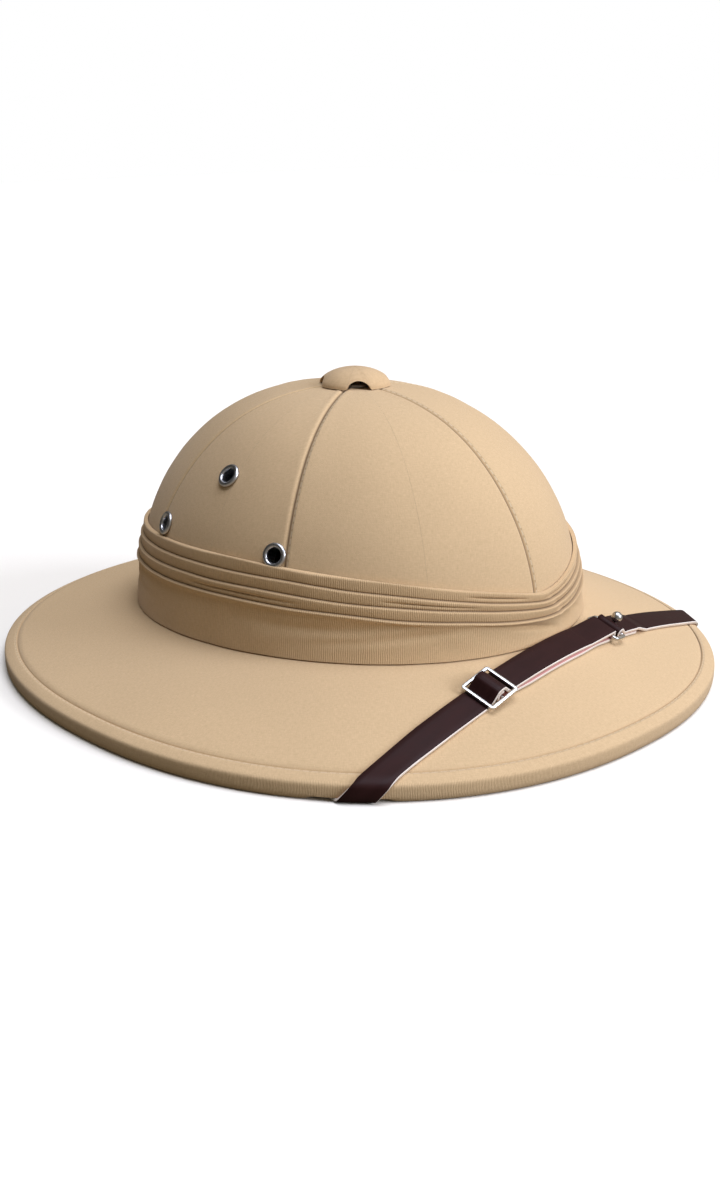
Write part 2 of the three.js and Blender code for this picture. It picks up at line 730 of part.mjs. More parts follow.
function hiddenRows({ side }, start) {
  const entry = place(ENTRY.forward, side * ENTRY.right, ENTRY.up);
  const points = [start];
  UNDER_BRIM.forEach(({ share, sag }) => {
    const point = start.clone().lerp(entry, share);
    point.z -= sag;
    points.push(point);
  });
  INSIDE_CROWN.forEach(({ forward, right, up }) => points.push(place(forward, side * right, up)));
  const leans = [0, ...UNDER_BRIM.map((row) => row.lean), ...INSIDE_CROWN.map((row) => row.lean)];
  const curve = new THREE.CatmullRomCurve3(points, false, 'centripetal');
  const rows = [];
  const last = HIDDEN_STEPS * (points.length - 1);
  for (let i = 1; i <= last; i += 1) {
    const whole = Math.min(Math.floor(i / HIDDEN_STEPS), points.length - 2);
    const lean = THREE.MathUtils.lerp(leans[whole], leans[whole + 1], i / HIDDEN_STEPS - whole) * DEGREE;
    const heading = curve.getTangent(i / last);
    const outwards = new THREE.Vector3(heading.y, -heading.x, 0).normalize();
    outwards.multiplyScalar(outwards.x * side > 0 ? -1 : 1);
    const downwards = new THREE.Vector3().crossVectors(heading, outwards).normalize();
    downwards.multiplyScalar(downwards.z > 0 ? -1 : 1);
    const direction = outwards.multiplyScalar(-Math.cos(lean)).addScaledVector(downwards, -Math.sin(lean));
    rows.push(across(curve.getPoint(i / last), direction));
  }
  return rows;
}

// Heights of the strap's layers and of the metal pieces over the brim
const LAYER = STRAP_THICKNESS + GAP;
const FIRST_LAYER = GAP + HALF;
const SECOND_LAYER = FIRST_LAYER + LAYER;
const BUCKLE_NEAR = FIRST_LAYER + HALF + GAP + BUCKLE.thickness / 2;
const BUCKLE_FAR = BUCKLE_NEAR + LAYER;
const BUCKLE_LIFT = (BUCKLE_NEAR + BUCKLE_FAR) / 2;
const BUCKLE_ARM = (BUCKLE.length - BUCKLE.bar) / 2;
const WRAP = Math.hypot(BUCKLE.middleBar, BUCKLE.thickness) / 2 + GAP + HALF;
const HUMP = WRAP + LAYER;
const LOOP_ARM = LOOP.length / 2 - LOOP.wire;
const LOOP_WRAP = LOOP.wire + GAP + HALF;
const LOOP_LIFT = FIRST_LAYER + LOOP_WRAP;
const TURN_CLEAR = 9;

// The strap's way through its fittings: how far from each bar it changes layer, and the part of each
// bar that it wraps, in degrees from the wearer's right
const HUMP_ARC = { from: 48, to: 120, steps: 5, before: 1.4, after: 1.6 };
const TONGUE_ARC = { from: -80, to: 118, steps: 8, before: 5 };
const LOOP_ARC = { from: 90, to: 270, steps: 8, after: 9 };
const SHORT_ARC = { from: -90, to: 115, steps: 9, before: 3 };
const UPPER_RUN = { from: 6, to: 14, end: 16 };
const SHORT_RUN = { tail: 16, slope: 4, top: 18, deck: 26 };
const STUD_BORE = { from: 0.1, to: 9, sides: 12 };

function rivetPlace(side) {
  const { forward, right, up } = RIVET_AT;
  const turn = Math.atan2((side * right) / CROWN_HALF_WIDTH, forward / CROWN_HALF_LENGTH);
  return { point: crownPoint(turn, up, CROWN_WALL), facing: crownNormal(turn, up).negate() };
}

function rivetHole(side) {
  const { point, facing } = rivetPlace(side);
  return seat(bore(RIVET.shank + GAP, { from: -RIVET.depth - GAP, to: 2 * RIVET.seat, sides: 12 }), point, facing);
}

function buildLongStrap() {
  const nearBar = BUCKLE.right + BUCKLE_ARM;
  const farBar = BUCKLE.right - BUCKLE_ARM;
  const loopBar = LOOP.right + LOOP_ARM;
  const turn = turnRows(TURNS.right);
  const hidden = hiddenRows(TURNS.right, middle(turn.at(-1)));
  const startRight = -middle(turn[0]).x;
  const rows = [
    ...hidden.reverse(),
    ...turn.reverse(),
    ...deckRows([
      ...straight(startRight - TURN_CLEAR, nearBar - HUMP_ARC.before, FIRST_LAYER),
      ...arc(BUCKLE.right, BUCKLE_LIFT, HUMP, HUMP_ARC),
      ...straight(farBar + HUMP_ARC.after, farBar - UPPER_RUN.from, SECOND_LAYER),
      ...straight(farBar - UPPER_RUN.to, loopBar + UPPER_RUN.end, SECOND_LAYER),
      ...arc(loopBar, LOOP_LIFT, LOOP_WRAP, LOOP_ARC),
      ...straight(loopBar + LOOP_ARC.after, BUCKLE.right - TONGUE_ARC.before, FIRST_LAYER),
      ...arc(BUCKLE.right, BUCKLE_LIFT, WRAP, TONGUE_ARC),
    ]),
  ];
  add('chin_strap_long', cut(ribbon(rows), [rivetHole(1)]), leather());
}

function buildShortStrap() {
  const loopBar = LOOP.right - LOOP_ARM;
  const turn = turnRows(TURNS.left);
  const endRight = -middle(turn[0]).x;
  const rows = [
    ...deckRows([
      ...straight(loopBar - SHORT_RUN.tail, loopBar - SHORT_ARC.before, FIRST_LAYER),
      ...arc(loopBar, LOOP_LIFT, LOOP_WRAP, SHORT_ARC),
      ...straight(loopBar - SHORT_RUN.slope, loopBar - SHORT_RUN.top, SECOND_LAYER),
      ...straight(loopBar - SHORT_RUN.deck, endRight + TURN_CLEAR, FIRST_LAYER),
    ]),
    ...turn,
    ...hiddenRows(TURNS.left, middle(turn.at(-1))),
  ];
  const studHole = onDeck(bore(STUD.neck + GAP, STUD_BORE), STUD.right, 0);
  add('chin_strap_short', cut(ribbon(rows), [rivetHole(-1), studHole]), leather());
}

function block(x, length, width, thickness) {
  return closed(new THREE.BoxGeometry(length, width, thickness)).translate(x, 0, 0);
}

function buildBuckle() {
  const window = (BUCKLE.length - BUCKLE.middleBar) / 2 - BUCKLE.bar;
  const across = BUCKLE.width - 2 * BUCKLE.bar;
  const middles = [1, -1].map((side) => (side * (BUCKLE.middleBar + window)) / 2);
  const windows = middles.map((x) => block(x, window, across, 2 * BUCKLE.thickness));
  const plate = cut(block(0, BUCKLE.length, BUCKLE.width, BUCKLE.thickness), windows);
  plate.rotateY(Math.atan2(BUCKLE_FAR - BUCKLE_NEAR, 2 * BUCKLE_ARM));
  add('slide_buckle', onDeck(plate, BUCKLE.right, BUCKLE_LIFT), metal());
}

// A rectangle of round wire with rounded corners
function buildLoop() {
  const halfLong = LOOP.length / 2 - LOOP.wire - LOOP.bend;
  const halfWide = LOOP.width / 2 - LOOP.wire - LOOP.bend;
  const corners = [
    { x: halfLong, y: halfWide, from: 0 },
    { x: -halfLong, y: halfWide, from: 90 },
    { x: -halfLong, y: -halfWide, from: 180 },
    { x: halfLong, y: -halfWide, from: 270 },
  ];
  const sections = [];
  corners.forEach(({ x, y, from }) => {
    for (let i = 0; i <= LOOP.cornerRows; i += 1) {
      const angle = (from + (90 * i) / LOOP.cornerRows) * DEGREE;
      const section = [];
      for (let k = 0; k < LOOP.sides; k += 1) {
        const round = ((k + 0.5) / LOOP.sides) * 2 * Math.PI;
        const reach = LOOP.bend + LOOP.wire * Math.cos(round);
        const [alongLoop, acrossLoop] = [x + reach * Math.cos(angle), y + reach * Math.sin(angle)];
        section.push(new THREE.Vector3(alongLoop, acrossLoop + LOOP.outward, LOOP.wire * Math.sin(round)));
      }
      sections.push(section);
    }
  });
  add('strap_loop', onDeck(rings(sections, true), LOOP.right, LOOP_LIFT), metal());
}

function buildStud() {
  const outline = [[0, GAP], [STUD.neck, GAP]];
  for (let i = 0; i <= STUD.rows; i += 1) {
    const angle = THREE.MathUtils.lerp(STUD.under, 90, i / STUD.rows) * DEGREE;
    outline.push([i < STUD.rows ? STUD.ball * Math.cos(angle) : 0, STUD.lift + STUD.ball * Math.sin(angle)]);
  }
  add('ball_stud', onDeck(turned(outline, STUD.sides), STUD.right, 0), metal());
}

function buildRivets() {
  const under = RIVET.seat;
  const profile = [
    [0, -RIVET.depth],
    [RIVET.shank, -RIVET.depth],
    [RIVET.shank, under],
    [RIVET.head, under],
    [RIVET.head - RIVET.bevel, under + RIVET.headThickness],
    [0, under + RIVET.headThickness],
  ];
  [{ name: 'right', side: 1 }, { name: 'left', side: -1 }].forEach(({ name, side }) => {
    const { point, facing } = rivetPlace(side);
    add(`strap_rivet_${name}`, seat(turned(profile, RIVET.sides), point, facing), metal());
  });
}

buildCrown();
buildBrim();
buildBand();
buildVent();
buildEyelets();
buildLongStrap();
buildShortStrap();
buildBuckle();
buildLoop();
buildStud();
buildRivets();

export default hat;
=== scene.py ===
"""Safari hat: a cloth-covered pith helmet with a pleated band and a leather chin strap over its brim.

Sizes in the tables are millimetres, in the part's own frame: the wearer looks along -Y, the wearer's
right hand is on -X, and +Z is up. Every mesh is put in metres.
"""
import math

import bpy
from mathutils import Matrix, Vector, noise


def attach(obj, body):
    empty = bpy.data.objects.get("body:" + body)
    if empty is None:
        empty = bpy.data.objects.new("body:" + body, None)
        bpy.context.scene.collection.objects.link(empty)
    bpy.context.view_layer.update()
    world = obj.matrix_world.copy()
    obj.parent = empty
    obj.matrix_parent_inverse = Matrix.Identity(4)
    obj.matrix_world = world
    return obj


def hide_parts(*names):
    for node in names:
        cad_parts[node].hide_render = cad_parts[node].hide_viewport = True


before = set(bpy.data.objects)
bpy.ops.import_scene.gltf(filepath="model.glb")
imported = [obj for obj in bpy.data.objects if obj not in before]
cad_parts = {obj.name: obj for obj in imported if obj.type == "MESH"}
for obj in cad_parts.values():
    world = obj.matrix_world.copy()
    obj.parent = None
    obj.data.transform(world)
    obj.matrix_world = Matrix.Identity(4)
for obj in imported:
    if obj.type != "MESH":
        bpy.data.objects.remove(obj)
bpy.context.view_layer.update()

MM = 0.001
GAP = 0.35
SMOOTH_UNDER = 50

# Crown. Turns are in degrees from the front, towards the wearer's right. SEAM_OFFSETS are the columns
# beside a seam. The panels' columns are spaced for one mean radius, and their rows start a little way
# up, at PANEL_FOOT over the base level.
CROWN_HALF_LENGTH = 118
CROWN_HALF_WIDTH = 100.4
CROWN_HEIGHT = 105.4
CROWN_WALL = 4.5
CROWN_TAPER = 1.95
CROWN_ROUNDNESS = 2.44
BASE_LEVEL = 28.3
JUNCTION_FRONT_RISE = 6
JUNCTION_SIDE_RISE = 1.2
SEAM_TURNS = (0, 66.5, 113.5, 180, 246.5, 293.5)
SEAM_OFFSETS = (0, 0.25, 0.5, 0.8, 1.2, 1.7, 2.5)
SEAM_DEPTH = 0.75
SEAM_HALF_WIDTH = 1.2
SEAM_SWELL = {"height": 0.25, "away": 2.2, "reach": 1.6}
PANEL_COLUMNS = 18
PANEL_FOOT = 8
PANEL_RADIUS = 108
VENT_HOLE_RADIUS = 9.4
MEASURED_COLUMN = 3
CROWN_FACES = {
    "outer": {"inset": 0, "rows": 64, "first": 6, "short_of_hole": 1},
    "inner": {"inset": CROWN_WALL, "rows": 22, "first": 4, "short_of_hole": 2},
}
CROWN_UNEVENNESS = [{"scale": 0.035, "depth": 0.25}, {"scale": 0.11, "depth": 0.06}]

# Brim and rim. A rim row marked pressed is pushed up where the strap turns under it. The cloth is
# measured round the rim at RIM_RADIUS, and in from the rim's edge over its upper rows.
RIM_HALF_LENGTH = 175
RIM_HALF_WIDTH = 165
RIM_SQUARENESS = 2.2
BRIM_THICKNESS = 6.4
BRIM_CURVE = 0.15
BRIM_COLUMNS = 360
BRIM_TOP_ROWS = 26
BRIM_UNDER_ROWS = 12
BRIM_UNEVENNESS = [{"scale": 0.03, "depth": 0.3}, {"scale": 0.09, "depth": 0.06}]
SEAM_INSET = 6.7
SEAM_UP = 10.6
RIM_RADIUS = 168
RIM_UPPER_ROWS = 10
AWAY_FROM_SEAM = -5
RIM_SECTION = [
    {"inset": 6.7, "up": 10.6}, {"inset": 6.5, "up": 10.2}, {"inset": 6.3, "up": 9.9},
    {"inset": 6.05, "up": 9.98}, {"inset": 5.8, "up": 10.28}, {"inset": 5.3, "up": 10.33},
    {"inset": 4.4, "up": 9.98}, {"inset": 3.4, "up": 9.5}, {"inset": 2.4, "up": 8.98},
    {"inset": 1.5, "up": 8.5}, {"inset": 0.9, "up": 8.15}, {"inset": 0.5, "up": 7.85},
    {"inset": 0.22, "up": 7.4}, {"inset": 0.06, "up": 6.8}, {"inset": 0, "up": 6},
    {"inset": 0, "up": 5}, {"inset": 0, "up": 4}, {"inset": 0.03, "up": 3}, {"inset": 0.2, "up": 2},
    {"inset": 0.55, "up": 1.15, "pressed": 1}, {"inset": 1.1, "up": 0.45, "pressed": 1},
    {"inset": 1.8, "up": 0.1, "pressed": 1}, {"inset": 2.6, "up": 0, "pressed": 1},
    {"inset": 5.2, "up": 0, "pressed": 1}, {"inset": 6.6, "up": 0.8, "pressed": 0.8},
    {"inset": 8.2, "up": 2}, {"inset": 9.6, "up": 3.2},
]

# Band: how far each fold line stands over the crown's foot at the sides and at the front crossing,
# where its crossing lies, and how thick the cloth is just under and just over the fold's edge
BAND_SEAT = 1.8
BAND_SEAT_HEIGHT = 55
BAND_NARROWING = 100
BAND_COLUMNS = 480
BAND_RADIUS = 110
BAND_FOLDS = [
    {"side": 24, "front": 9.3, "crossing": -8, "rounding": 9, "sweep": 13, "under": 2.9, "over": 1.5},
    {"side": 29.7, "front": 13.7, "crossing": -6, "rounding": 7, "sweep": 11, "under": 2.6,
     "over": 1.25},
    {"side": 35.2, "front": 17.5, "crossing": -4.4, "rounding": 5, "sweep": 9, "under": 2.3, "over": 1},
    {"side": 41, "front": 21.5, "crossing": -3.2, "rounding": 3, "sweep": 7.5, "under": 2, "over": 0},
]

# The wide cloth under the folds, and how far the whole band strays, ripples and ruffles
BAND_FOOT_THICKNESS = 2.3
BAND_FOOT_ROWS = 16
BAND_FOOT_THINNING = 1.15
BAND_INNER_SHARES = [1, 0.75, 0.5, 0.25, 0]
BAND_HOLLOW = 1.3
BAND_WANDER = {"height": 0.6, "round": 3.1, "fold": 1.7}
BAND_RIPPLE = {"depth": 0.3, "round": 5, "up": 1.4}
BAND_RUFFLE = {"depth": 0.16, "round": 9, "up": 0.12}
BAND_CLEARANCE = 0.1
BAND_LINING = 0.4
BAND_THINNEST = 0.25
AWAY_FROM_FOLD = -2

# The rows that round a fold's edge, over and under its line, and how much thinner the cloth is there
EDGE_OVER = [{"off": 0.6, "less": 0}, {"off": 0.34, "less": 0.25}, {"off": 0.2, "less": 0.25}]
EDGE_UNDER = [{"off": 0.08, "less": 0.4}, {"off": -0.05, "less": 0.1}, {"off": -0.3, "less": 0},
              {"off": -0.7, "less": 0.06}]
PLEAT_SHARES = (0.15, 0.3, 0.42, 0.5, 0.58, 0.7, 0.85)
PLEAT_FULLNESS = 1.2
PLEAT_FOOT = 0.5

# Where the cloth laps at a crossing: how far it stands out, over how many degrees it fades, and the
# groove beside it
FOLD_LAP = {"height": 0.7, "fade": 26, "step": 2.2, "groove": 0.25, "groove_at": -3.2, "groove_half": 2,
            "share": 0.6}

# Creases in the wide lower cloth: place, length and direction in degrees round and mm up, and depth
BAND_CREASES = [
    {"turn": 8, "up": 10, "run": 15, "rise": 5, "half": 1.3, "depth": 0.7},
    {"turn": 1, "up": 7.5, "run": 9, "rise": 3.6, "half": 1.1, "depth": 0.6},
    {"turn": 17, "up": 15.5, "run": 18, "rise": 4, "half": 1.4, "depth": 0.5},
    {"turn": 34, "up": 12, "run": 14, "rise": -1, "half": 1.6, "depth": 0.35},
    {"turn": 62, "up": 14, "run": 20, "rise": 1.5, "half": 1.8, "depth": 0.35},
    {"turn": 48, "up": 15, "run": 26, "rise": -3.5, "half": 2.4, "depth": 0.55},
    {"turn": 44, "up": 9.5, "run": 18, "rise": -2.5, "half": 1.5, "depth": 0.4},
    {"turn": -16, "up": 9, "run": 10, "rise": 5, "half": 1.2, "depth": 0.5},
    {"turn": -60, "up": 15, "run": 20, "rise": -2, "half": 1.8, "depth": 0.35},
    {"turn": 128, "up": 12, "run": 22, "rise": 1, "half": 1.8, "depth": 0.35},
    {"turn": 205, "up": 11, "run": 20, "rise": 2, "half": 1.8, "depth": 0.35},
]

# Finer pleats between the folds: below which fold, where round the band, and over how many degrees
BAND_GATHERS = [
    {"fold": 3, "turn": -19, "half": 17}, {"fold": 2, "turn": -25, "half": 22},
    {"fold": 1, "turn": -20, "half": 15}, {"fold": 3, "turn": 13, "half": 9},
    {"fold": 2, "turn": 31, "half": 12}, {"fold": 1, "turn": 78, "half": 16},
    {"fold": 3, "turn": 160, "half": 20}, {"fold": 2, "turn": 230, "half": 18},
]
GATHER_DEPTH = 0.8
GATHER_HALF = 0.09
# The offset that lays the painted shadow line along a finer pleat's middle row; its negative keeps the
# rows beside it off the line
GATHER_SHADOW_LINE = 0.3
GATHER_REACH = 0.1
CREASE_DEPTH = 1.4

# Chin strap
STRAP_WIDTH = 13.2
STRAP_THICKNESS = 1.4
STRAP_FORWARD = 129
STRAP_BEND = {"from": 105, "span": 227, "back": 18.5, "power": 2.15}
STRAP_STEP = 3
HALF = STRAP_THICKNESS / 2
TURNS = {"right": {"side": 1, "slant": 41, "row": 15.9}, "left": {"side": -1, "slant": 45, "row": 18}}
CROSSING_RANGE = (20, 75)
DENT = STRAP_THICKNESS + GAP + 0.15
DENT_RAMP = 9
RIM_STAND_OFF = GAP + HALF + 0.3
UNDER_RIM = DENT - GAP - HALF
UNDER_ROWS = 2
STRAIGHT_ROWS = 2
ROW_WIDENING = (1.17, 1.1, 1.04)
PLAN_SHARE = 0.955
LOWER_LAYER_OUT = 1
TURN_SECTION = [
    {"inset": 10.5, "up": 12.1 + GAP + HALF},
    {"inset": 6.4, "up": 10.8 + GAP + HALF},
    {"inset": 2.2, "up": 9.2 + GAP + HALF},
    {"inset": 0, "up": 8.3 + HALF},
    {"inset": 0.3 - RIM_STAND_OFF, "up": 7.8},
    {"inset": -RIM_STAND_OFF, "up": 6.4},
    {"inset": -RIM_STAND_OFF, "up": 3.4},
    {"inset": -0.6, "up": 1.5},
    {"inset": 1.6, "up": UNDER_RIM},
    {"inset": 5.6, "up": UNDER_RIM},
]
ENTRY = {"forward": 6, "right": 89.8, "up": 19.5}
UNDER_BRIM = [
    {"share": 0.25, "sag": 1, "lean": 10},
    {"share": 0.5, "sag": 2.2, "lean": 15},
    {"share": 0.75, "sag": 2.2, "lean": 28},
    {"share": 1, "sag": 0, "lean": 66},
]
INSIDE_CROWN = [
    {"forward": -9, "right": 90.6, "up": 30, "lean": 82},
    {"forward": -18, "right": 90, "up": 39, "lean": 84},
    {"forward": -24, "right": 88.9, "up": 45, "lean": 84},
]

# Across the strap, as shares of its half width and half thickness, and what each face shows
STRAP_SECTION = [
    {"across": 0.96, "thick": 1, "face": "grain"}, {"across": 0.55, "thick": 1.04, "face": "grain"},
    {"across": 0, "thick": 1.06, "face": "grain"}, {"across": -0.55, "thick": 1.04, "face": "grain"},
    {"across": -0.96, "thick": 1, "face": "grain"}, {"across": -1, "thick": 0.7, "face": "edge"},
    {"across": -1, "thick": -0.7, "face": "edge"}, {"across": -0.97, "thick": -1, "face": "flesh"},
    {"across": -0.5, "thick": -1, "face": "flesh"}, {"across": 0, "thick": -1, "face": "flesh"},
    {"across": 0.5, "thick": -1, "face": "flesh"}, {"across": 0.97, "thick": -1, "face": "edge"},
    {"across": 1, "thick": -0.7, "face": "edge"}, {"across": 1, "thick": 0.7, "face": "edge"},
]

# Metal on the strap, and how high each layer of the strap and each bar lies over the brim
BUCKLE = {"right": 47, "length": 17.4, "width": 18, "bar": 1.9, "thickness": 1.3, "middle": 1.4,
          "slimmed": 0.84, "squareness": 0.4, "corner": 0.02, "middle_slimmed": 0.96}
LOOP = {"right": -41, "length": 9.6, "width": 18.6, "wire": 0.9, "bend": 1.3, "outward": 0.3}
STUD = {"right": -47.9, "ball": 2.6, "neck": 1.1, "lift": 7.6, "under": -64, "rows": 18, "sides": 32}
CORNER_STEP = 15
CORNER_ROWS = 7
RING_SIDES = 16
BAR_SIDES = 14
BAR_ROWS = 6
LAYER = STRAP_THICKNESS + GAP
FIRST_LAYER = GAP + HALF
SECOND_LAYER = FIRST_LAYER + LAYER
BUCKLE_NEAR = FIRST_LAYER + HALF + GAP + BUCKLE["thickness"] / 2
BUCKLE_FAR = BUCKLE_NEAR + LAYER
BUCKLE_LIFT = (BUCKLE_NEAR + BUCKLE_FAR) / 2
BUCKLE_ARM = (BUCKLE["length"] - BUCKLE["bar"]) / 2
WRAP = math.hypot(BUCKLE["middle"], BUCKLE["thickness"]) / 2 + GAP + HALF
HUMP = WRAP + LAYER
LOOP_ARM = LOOP["length"] / 2 - LOOP["wire"]
LOOP_WRAP = LOOP["wire"] + GAP + HALF
LOOP_LIFT = FIRST_LAYER + LOOP_WRAP
TURN_CLEAR = 14
TURN_JOIN_ROWS = 3
SPLINE_STEPS = 3
EASING_ROUNDS = 4

# Round the bars, in degrees, and where the straight stretches start and end, in mm from a bar. Rows
# are eased from a few before to a few after the place where the strap comes off the rim.
HUMP_ARC = {"start": 48, "end": 120, "steps": 5}
WRAP_ARC = {"start": -80, "end": 118, "steps": 8}
LOOP_ARC = {"start": 90, "end": 270, "steps": 8}
SHORT_ARC = {"start": -90, "end": 115, "steps": 9}
LONG_RUN = {"to_buckle": 1.4, "off_buckle": 1.6, "sinking": 6, "sunk": 14, "to_loop": 16, "off_loop": 9,
            "back_at_buckle": 5, "eased": (-2, 5)}
SHORT_RUN = {"tip": 16, "to_loop": 3, "off_loop": 4, "sinking": 18, "sunk": 26, "eased": (-3, 4)}

# Vent cap and eyelets. The flange behind the wall is given in from its rim and down its thickness, and
# the roll in front of the wall in degrees over its curve.
CAP = {"radius": 17.5, "height": 8.2, "wall": 1.6, "arches": 4, "turn": 38, "half_angle": 19,
       "arch": 3.9, "stem": 2.2, "stem_short": 0.3, "centre": 0.3, "rounding": 1.7, "columns": 120}
CAP_HEM = {"at": 0.05, "half": 0.08, "depth": 0.15}
CAP_OUTER_SHARES = [0, 0.03, 0.08, 0.16, 0.26, 0.36, 0.47, 0.58, 0.68, 0.77, 0.85, 0.91, 0.96, 0.99]
CAP_INNER_SHARES = [0.85, 0.68, 0.45, 0.22, 0.04]
COLLAR_BAR_DROP = 3.4
EYELET = {"radius": 5.7, "hole": 3.4, "tube": 4.1, "roll": 1.5, "back_gap": 1.1, "back": 0.8,
          "foot": 0.35, "edge": 0.25, "sides": 40, "cut_depth": 18, "cut_sides": 32}
EYELET_FLANGE = [{"in": 0.6, "down": 1}, {"in": 0.3, "down": 0.5}, {"in": 0.5, "down": 0}]
EYELET_ROLL = range(10, 175, 15)
EYELETS = [
    {"name": "upper", "turn": 91.5, "rise": 72.7},
    {"name": "front", "turn": 69.3, "rise": 46.2},
    {"name": "rear", "turn": 110.5, "rise": 45.4},
]

# Camera: where it stands, what it looks at, and the lens and shift that give the photo's view
CAMERA_AT = (-482.0, -493.2, 260.5)
CAMERA_AIM = (0, 0.6, 28.3)
CAMERA_LENS = 43.64
CAMERA_SHIFT = (0.0049, -0.0064)
CAMERA_SENSOR = 36
CAMERA_NEAR = 0.01

# Light: a soft glow from one side, two broad lamps, and a floor that the camera sees as white
WORLD_LIGHT = {"from": (0.69, -0.67, 0.28), "dark": 0.02, "bright": 0.51, "falloff": 1.4,
               "colour": (1, 0.93, 0.8)}
LAMPS = [
    {"name": "top light", "at": (0.13, -0.38, 1.75), "softness": 45, "power": 2.25},
    {"name": "side light", "at": (0.65, -1.52, 0.72), "softness": 28, "power": 1.85},
]
LAMP_COLOUR = (1, 1.07, 1.25)
FLOOR_WIDTH = 8
FLOOR_SEEN = (0.95, 0.9, 0.82)
FLOOR_BOUNCE = (0.19, 0.165, 0.12)
FLOOR_FINISH = {"Roughness": 0.9, "Specular IOR Level": 0.1}


def place(forward, right, up):
    """A point from distances forward, to the wearer's right, and up."""
    return Vector((-right, -forward, up))


def smooth(value):
    t = min(1, max(0, value))
    return t * t * (3 - 2 * t)


def lerp(a, b, share):
    return a + (b - a) * share


def degrees_from(turn, other):
    """The turn past another one, from -180 to 180 degrees."""
    return (turn - other + 180) % 360 - 180


def unevenness(at, waves):
    """How far soft cloth strays from its smooth shape at a point, in mm."""
    return sum(noise.noise(at * wave["scale"]) * wave["depth"] for wave in waves)


# The shapes that the pieces share

def junction_level(turn):
    return BASE_LEVEL + JUNCTION_FRONT_RISE * math.cos(turn) - JUNCTION_SIDE_RISE * math.cos(2 * turn)


def crown_share(rise):
    t = min(1, max(0, rise))
    return (1 - t ** CROWN_TAPER) ** (1 / CROWN_ROUNDNESS)


def band_seat(up):
    return BAND_SEAT * (1 - smooth((up - BASE_LEVEL) / BAND_SEAT_HEIGHT))


def crown_point(turn, up, inset=0):
    share = crown_share((up - BASE_LEVEL) / (CROWN_HEIGHT - inset))
    drawn_in = inset + band_seat(up)
    forward = (CROWN_HALF_LENGTH - drawn_in) * share * math.cos(turn)
    right = (CROWN_HALF_WIDTH - drawn_in) * share * math.sin(turn)
    return place(forward, right, up)


def crown_level_at(radius, turn, inset=0):
    reach = 1 / math.hypot(math.cos(turn) / (CROWN_HALF_LENGTH - inset),
                           math.sin(turn) / (CROWN_HALF_WIDTH - inset))
    share = min(radius / reach, 1)
    return BASE_LEVEL + (CROWN_HEIGHT - inset) * (1 - share ** CROWN_ROUNDNESS) ** (1 / CROWN_TAPER)


def sideways(turn):
    return place(math.cos(turn) / CROWN_HALF_LENGTH, math.sin(turn) / CROWN_HALF_WIDTH, 0).normalized()


def crown_normal(turn, up):
    step = 0.01
    along = crown_point(turn + step, up) - crown_point(turn - step, up)
    rising = crown_point(turn, up + step) - crown_point(turn, up - step)
    normal = along.cross(rising).normalized()
    return -normal if normal.dot(sideways(turn)) < 0 else normal


def rim_reach(forward, right, inset=0):
    level = ((abs(forward) / (RIM_HALF_LENGTH - inset)) ** RIM_SQUARENESS
             + (abs(right) / (RIM_HALF_WIDTH - inset)) ** RIM_SQUARENESS) ** (1 / RIM_SQUARENESS)
    return 1 / level


def brim_top(forward, right):
    turn = math.atan2(right / CROWN_HALF_WIDTH, forward / CROWN_HALF_LENGTH)
    crown_edge = 1 / math.hypot(forward / CROWN_HALF_LENGTH, right / CROWN_HALF_WIDTH)
    seam_edge = rim_reach(forward, right, SEAM_INSET)
    out = (1 - crown_edge) / (seam_edge - crown_edge)
    start = junction_level(turn)
    return start + (SEAM_UP - start) * (out * (1 - BRIM_CURVE) + out * out * BRIM_CURVE)


def fold_level(fold, turn):
    """How high a fold line lies. It drops to its crossing at the front from both sides."""
    past = degrees_from(math.degrees(turn), fold["crossing"])
    bend = fold["rounding"] if past > 0 else fold["sweep"]
    away = math.hypot(past, bend) - bend + fold["rounding"] / 2
    near = max(0, 1 - away / BAND_NARROWING)
    return junction_level(turn) + fold["side"] - (fold["side"] - fold["front"]) * near * near


# Mesh helpers

def clear():
    """Leaves edit mode and deselects everything, before a new piece is added."""
    if bpy.context.object and bpy.context.object.mode != "OBJECT":
        bpy.ops.object.mode_set(mode="OBJECT")
    bpy.ops.object.select_all(action="DESELECT")


